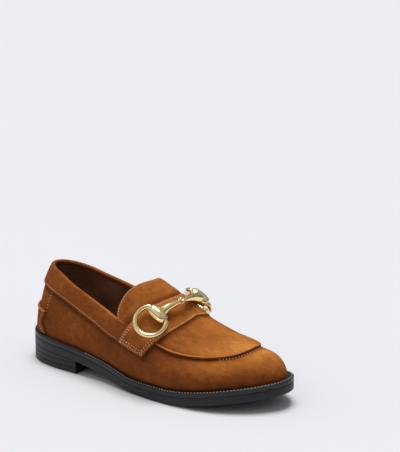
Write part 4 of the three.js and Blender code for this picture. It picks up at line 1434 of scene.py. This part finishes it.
# Metres from which a stitch is laid onto a piece, and millimetres that it then stands proud
LAYING_REACH = 0.008
STITCH_LIFT = 0.12

# Seams beside the edges: shares of the climb, the turn or the row, and millimetres on the tongue
STRAP_FOOT_SEAMS = (0.026, 0.048)
STRAP_DOUBLED_FROM = 0.72
COLLAR_SEAM_LIFT = 0.022
APRON_SEAM_DROP = 0.014
BACKSTAY_SEAM_INSET = 0.008
TONGUE_SEAM_INSET = 3.0


def settled(lines, *names):
    """Lines laid onto the surface of pieces that are built already."""
    trees = []
    for name in names:
        mesh = bpy.data.objects[name].data
        polygons = [tuple(polygon.vertices) for polygon in mesh.polygons]
        trees.append(bvhtree.BVHTree.FromPolygons([v.co.copy() for v in mesh.vertices], polygons))
    laid = []
    for points, normals in lines:
        kept, outward = [], []
        for point, normal in zip((points + SHIFT) * MM, normals):
            start, direction = Vector(point + normal * LAYING_REACH), Vector(-normal)
            casts = [tree.ray_cast(start, direction, 2 * LAYING_REACH) for tree in trees]
            hits = [cast for cast in casts if cast[0]]
            if not hits:
                continue
            spot, facing, _, _ = min(hits, key=lambda hit: hit[3])
            if facing.dot(direction) > 0:
                facing = -facing
            kept.append(np.array(spot) / MM - SHIFT + np.array(facing) * STITCH_LIFT)
            outward.append(np.array(facing))
        if len(kept) > 1:
            laid.append((np.array(kept), np.array(outward)))
    return laid


def build_upper_stitches():
    """Seams of the strap, tongue, collar band, backstay and apron."""
    sizes = bpy.context.scene.loafer_sizes
    pitch, length, thick = sizes.stitch_pitch / MM, sizes.stitch_length / MM, sizes.thread / MM
    thread = material("thread")

    def seam(name, lines, onto, seed, short=1.0, thin=1.0):
        """Stitches along lines that are laid onto pieces, shorter and thinner where asked."""
        laid = settled(lines, *onto)
        sew(name, laid, thread, pitch, length * short, thick * thin, "suede", seed)

    side = np.linspace(-0.97, 0.97, 500)
    lines = []
    for half, sign in ((STRAP_FRONT, 1), (STRAP_REAR, -1)):
        edge = skin(across(half, side), over_shoe(collar_seam(half), side))
        lines.append(moved_in(edge, STRAP_SEAM_INSET * sign))
        doubled = moved_in(edge, (STRAP_SEAM_INSET + STRAP_SEAM_SPACING) * sign)
        for part in (side < -STRAP_DOUBLED_FROM, side > STRAP_DOUBLED_FROM):
            lines.append((doubled[0][part], doubled[1][part]))
    halves = np.linspace(STRAP_REAR + 0.004, STRAP_FRONT - 0.004, 80)
    for turns in (halves, 1 - halves):
        for step in STRAP_FOOT_SEAMS:
            lines.append(skin(turns, collar_seam(halves) + step))
    seam("strap_stitches", lines, ["suede_strap"], 7)

    points, normals = tongue_base()
    edge, facing = points[-1, 4:-4], normals[-8, 4:-4]
    inner_edge = edge + unit(points[10:11, 55] - edge) * TONGUE_SEAM_INSET
    seam("tongue_stitches", [(inner_edge, facing)], ["suede_tongue"], 3)

    halves = np.linspace(0.004, STRAP_REAR - 0.004, 320)
    climbs = collar_seam(halves) + COLLAR_SEAM_LIFT
    lines = [skin(turns, climbs) for turns in (halves, 1 - halves)]
    seam("collar_stitches", lines, ["suede_collar_band"], 5, short=0.9, thin=0.8)

    share = np.linspace(0.05, 0.96, 120)
    rise = np.linspace(0, 1, 60)
    top = backstay_reach(share)[-1] + 0.004 * rise
    low, high = BACKSTAY_TOP * collar_seam(top), collar_seam(top) - 0.01
    lines = []
    for sign in (1, -1):
        lines.append(skin(*backstay_side(sign, share, BACKSTAY_SEAM_INSET)))
        lines.append(skin(np.mod(sign * top, 1.0), low + (high - low) * rise))
    onto = ["suede_backstay", "suede_upper"]
    seam("backstay_stitches", lines, onto, 9, short=0.9, thin=0.85)

    turns = np.concatenate([np.linspace(0.36, 0.5, 220), np.linspace(0.5, 0.64, 220)[1:]])
    lines = [skin(turns, apron_seam(half_of(turns)) - APRON_SEAM_DROP)]
    seam("apron_stitches", lines, ["suede_upper"], 11, short=0.9, thin=0.9)


def build_welt_stitches():
    """Row of coarse stitches in the groove of the welt's ledge."""
    sizes = bpy.context.scene.loafer_sizes
    start = float(turn_of(0.3)) / 2
    turns = np.linspace(start, 1 - start, 900)
    flat = inset_edge(turns, welt_ledge(turns) * WELT_SEAM_SHARE)
    line = np.concatenate([flat, (seat_at(flat[:, 0]) + 0.15)[:, None]], 1)
    upward = np.tile([0.0, 0.0, 1.0], (len(line), 1))
    pitch = sizes.stitch_pitch / MM * 1.1
    sew(
        "welt_stitches",
        [(line, upward)],
        material("welt_thread"),
        pitch,
        pitch * 0.7,
        sizes.thread / MM * 1.3,
        "sole_rubber",
        13,
    )


# Stage

VIEW_TARGET = Vector((186.29, -7.06, 152.73))
VIEW_AZIMUTH = 37.15
VIEW_ELEVATION = 16.57
VIEW_DISTANCE = 1.8
FOCAL_PIXELS = 2094.78
IMAGE_LONG_SIDE = 452
SENSOR_WIDTH = 36
SKY_STRENGTH = 0.42
FLOOR_REACH = 9
FLOOR_DROP = 0.0002


def add_camera():
    """Camera that sees the shoe as the photograph does."""
    data = bpy.data.cameras.new("camera")
    camera = bpy.data.objects.new("camera", data)
    bpy.context.scene.collection.objects.link(camera)
    a, e = math.radians(VIEW_AZIMUTH), math.radians(VIEW_ELEVATION)
    back = Vector((math.sin(a) * math.cos(e), -math.cos(a) * math.cos(e), math.sin(e)))
    target = (VIEW_TARGET + Vector(SHIFT)) * MM
    camera.rotation_mode = "QUATERNION"
    camera.location = target + back * VIEW_DISTANCE
    camera.rotation_quaternion = (-back).to_track_quat("-Z", "Y")
    data.sensor_width = SENSOR_WIDTH
    data.lens = FOCAL_PIXELS * SENSOR_WIDTH / IMAGE_LONG_SIDE
    data.clip_start, data.clip_end = 0.05, 60
    bpy.context.scene.camera = camera


def add_sun(name, towards, spread, power, colour=(1, 1, 1)):
    """Even light from a direction, as soft as the angle that it spreads over."""
    data = bpy.data.lights.new(name, "SUN")
    data.energy, data.color, data.angle = power, colour, math.radians(spread)
    light = bpy.data.objects.new(name, data)
    light.rotation_mode = "QUATERNION"
    light.rotation_quaternion = Vector(towards).to_track_quat("Z", "Y")
    bpy.context.scene.collection.objects.link(light)


def add_studio_sky(scene):
    """Bright ceiling over darker walls, which the metal and the sole reflect."""
    world = bpy.data.worlds.new("studio")
    world.use_nodes = True
    tree = world.node_tree
    backdrop = tree.nodes["Background"]
    place = tree.nodes.new("ShaderNodeTexCoord")
    split = tree.nodes.new("ShaderNodeSeparateXYZ")
    ramp = tree.nodes.new("ShaderNodeValToRGB")
    stops = [(0.0, 0.2), (0.15, 0.32), (0.45, 0.75), (0.75, 1.0)]
    elements = ramp.color_ramp.elements
    while len(elements) < len(stops):
        elements.new(0.5)
    for element, (at, value) in zip(elements, stops):
        element.position, element.color = at, (value, value, value * 1.03, 1)
    tree.links.new(place.outputs["Generated"], split.inputs["Vector"])
    tree.links.new(split.outputs["Z"], ramp.inputs["Fac"])
    tree.links.new(ramp.outputs["Color"], backdrop.inputs["Color"])
    backdrop.inputs["Strength"].default_value = SKY_STRENGTH
    scene.world = world


def floor_material():
    """Plain pale floor."""
    shader = Shader("pale_floor")
    haze = shader.noise(3, 2)
    colour = np.array(bpy.context.scene.loafer_colours.floor)
    shader.colour(shader.ramp(haze, [(0.3, colour * 0.995), (0.7, colour)]))
    shader.set(Roughness=0.9, Specular_IOR_Level=0.1)
    return shader.material


# Add-on


def length_property(name, description, default):
    return FloatProperty(name=name, description=description, default=default, unit="LENGTH")


def colour_property(name, description, default):
    return FloatVectorProperty(
        name=name, description=description, default=default, subtype="COLOR", size=3, min=0, max=1
    )


class LoaferSizes(bpy.types.PropertyGroup):
    stitch_pitch: length_property("Stitch pitch", "Distance between stitches", 0.0027)
    stitch_length: length_property("Stitch length", "Length of one stitch", 0.0016)
    thread: length_property("Thread", "Thickness of the thread", 0.00078)
    rib_pitch: length_property("Rib pitch", "Distance between the welt's ribs", 0.0025)
    rib_depth: length_property("Rib depth", "Depth of the grooves between ribs", 0.0005)
    band_thickness: length_property("Collar band", "Thickness of the collar band", 0.0014)
    strap_thickness: length_property("Strap", "Thickness of the saddle strap", STRAP_THICKNESS * MM)
    apron_bead: length_property("Apron rim", "Height of the apron's raised rim", 0.0013)
    backstay_lip: length_property("Backstay fold", "Height of the folded top edge", 0.001)
    tongue_reach: length_property("Tongue reach", "Length of the free flap", 0.016)
    tongue_rise: length_property("Tongue rise", "How far the flap stands up", 0.008)
    lamp_power: FloatProperty(
        name="Lamp power", description="Strength of the main lamp", default=2.35, min=0
    )


class LoaferColours(bpy.types.PropertyGroup):
    # Suede colours from painted shade to painted light: deep and shade for sides turned from the
    # lamp, light for tops that face it
    suede_deep: colour_property("Suede deep", "Nap brushed into shade", (0.1, 0.026, 0.006))
    suede_shade: colour_property("Suede shade", "Nap on the sides", (0.22, 0.058, 0.012))
    suede_mid: colour_property("Suede", "Nap on the slopes", (0.4, 0.128, 0.024))
    suede_light: colour_property("Suede light", "Nap brushed to the light", (0.64, 0.26, 0.055))
    lining: colour_property("Lining", "Dark lining leather", (0.19, 0.085, 0.045))
    sole: colour_property("Sole", "Black of the sole", (0.009, 0.009, 0.0102))
    # Dark brown of the welt's ledge, darkened further as painted shade under the upper
    ledge: colour_property("Welt top", "Dark brown of the welt's ledge", (0.011, 0.007, 0.005))
    metal: colour_property("Bit", "Pale gold of the bit", (1.0, 0.78, 0.4))
    thread: colour_property("Thread", "Sand coloured thread of the upper", (0.78, 0.5, 0.32))
    welt_thread: colour_property("Welt thread", "Grey thread of the welt", (0.4, 0.37, 0.34))
    floor: colour_property("Floor", "Pale floor of the studio", (0.735, 0.748, 0.785))


class LOAFER_OT_upper(bpy.types.Operator):
    """Build the suede upper with its lining"""

    bl_idname = "loafer.upper"
    bl_label = "Upper"

    def execute(self, context):
        build_upper()
        return {"FINISHED"}


class LOAFER_OT_overlays(bpy.types.Operator):
    """Build the collar band, backstay, apron, strap and tongue"""

    bl_idname = "loafer.overlays"
    bl_label = "Overlays"

    def execute(self, context):
        build_collar_band()
        build_backstay()
        build_apron()
        build_strap()
        build_tongue()
        return {"FINISHED"}


class LOAFER_OT_sole(bpy.types.Operator):
    """Build the sole plate, heel, ribbed welt and footbed"""

    bl_idname = "loafer.sole"
    bl_label = "Sole"

    def execute(self, context):
        build_outsole()
        build_heel()
        build_welt()
        build_footbed()
        return {"FINISHED"}


class LOAFER_OT_bit(bpy.types.Operator):
    """Build the snaffle bit"""

    bl_idname = "loafer.bit"
    bl_label = "Bit"

    def execute(self, context):
        build_bit()
        return {"FINISHED"}


class LOAFER_OT_stitches(bpy.types.Operator):
    """Sew the stitches of the upper and the welt"""

    bl_idname = "loafer.stitches"
    bl_label = "Stitches"

    def execute(self, context):
        build_upper_stitches()
        build_welt_stitches()
        return {"FINISHED"}


class LOAFER_OT_stage(bpy.types.Operator):
    """Set up the floor, lights and camera"""

    bl_idname = "loafer.stage"
    bl_label = "Stage"

    def execute(self, context):
        scene = context.scene
        mesh = bpy.data.meshes.new("floor")
        signs = ((-1, -1), (1, -1), (1, 1), (-1, 1))
        corners = [(x * FLOOR_REACH, y * FLOOR_REACH, -FLOOR_DROP) for x, y in signs]
        mesh.from_pydata(corners, [], [(0, 1, 2, 3)])
        mesh.materials.append(floor_material())
        floor = bpy.data.objects.new("floor", mesh)
        scene.collection.objects.link(floor)
        add_studio_sky(scene)
        power = scene.loafer_sizes.lamp_power
        add_sun("sun_top", (-0.05, 0.1, 1.0), 30, power, (1, 0.99, 0.97))
        add_sun("sun_front", (-0.3, -1.0, 0.75), 60, power * 0.09)
        add_sun("sun_left", (-1.0, -0.35, 0.45), 30, power * 0.06)
        scene.view_settings.view_transform = "Standard"
        add_camera()
        return {"FINISHED"}


class LOAFER_PT_panel(bpy.types.Panel):
    bl_label = "Bit Loafer"
    bl_idname = "LOAFER_PT_panel"
    bl_space_type = "VIEW_3D"
    bl_region_type = "UI"
    bl_category = "Bit Loafer"

    def draw(self, context):
        layout = self.layout
        for group in (context.scene.loafer_sizes, context.scene.loafer_colours):
            for key in group.__annotations__:
                layout.prop(group, key)
        for step in STEPS:
            layout.operator(step.bl_idname)


STEPS = (
    LOAFER_OT_stage,
    LOAFER_OT_upper,
    LOAFER_OT_overlays,
    LOAFER_OT_sole,
    LOAFER_OT_bit,
    LOAFER_OT_stitches,
)
CLASSES = (LoaferSizes, LoaferColours, *STEPS, LOAFER_PT_panel)


def register():
    for item in CLASSES:
        bpy.utils.register_class(item)
    bpy.types.Scene.loafer_sizes = PointerProperty(type=LoaferSizes)
    bpy.types.Scene.loafer_colours = PointerProperty(type=LoaferColours)


def unregister():
    del bpy.types.Scene.loafer_colours
    del bpy.types.Scene.loafer_sizes
    for item in reversed(CLASSES):
        bpy.utils.unregister_class(item)


def main():
    register()
    bpy.ops.loafer.stage()
    bpy.ops.loafer.upper()
    bpy.ops.loafer.overlays()
    bpy.ops.loafer.sole()
    bpy.ops.loafer.bit()
    bpy.ops.loafer.stitches()


if __name__ == "__main__":
    main()
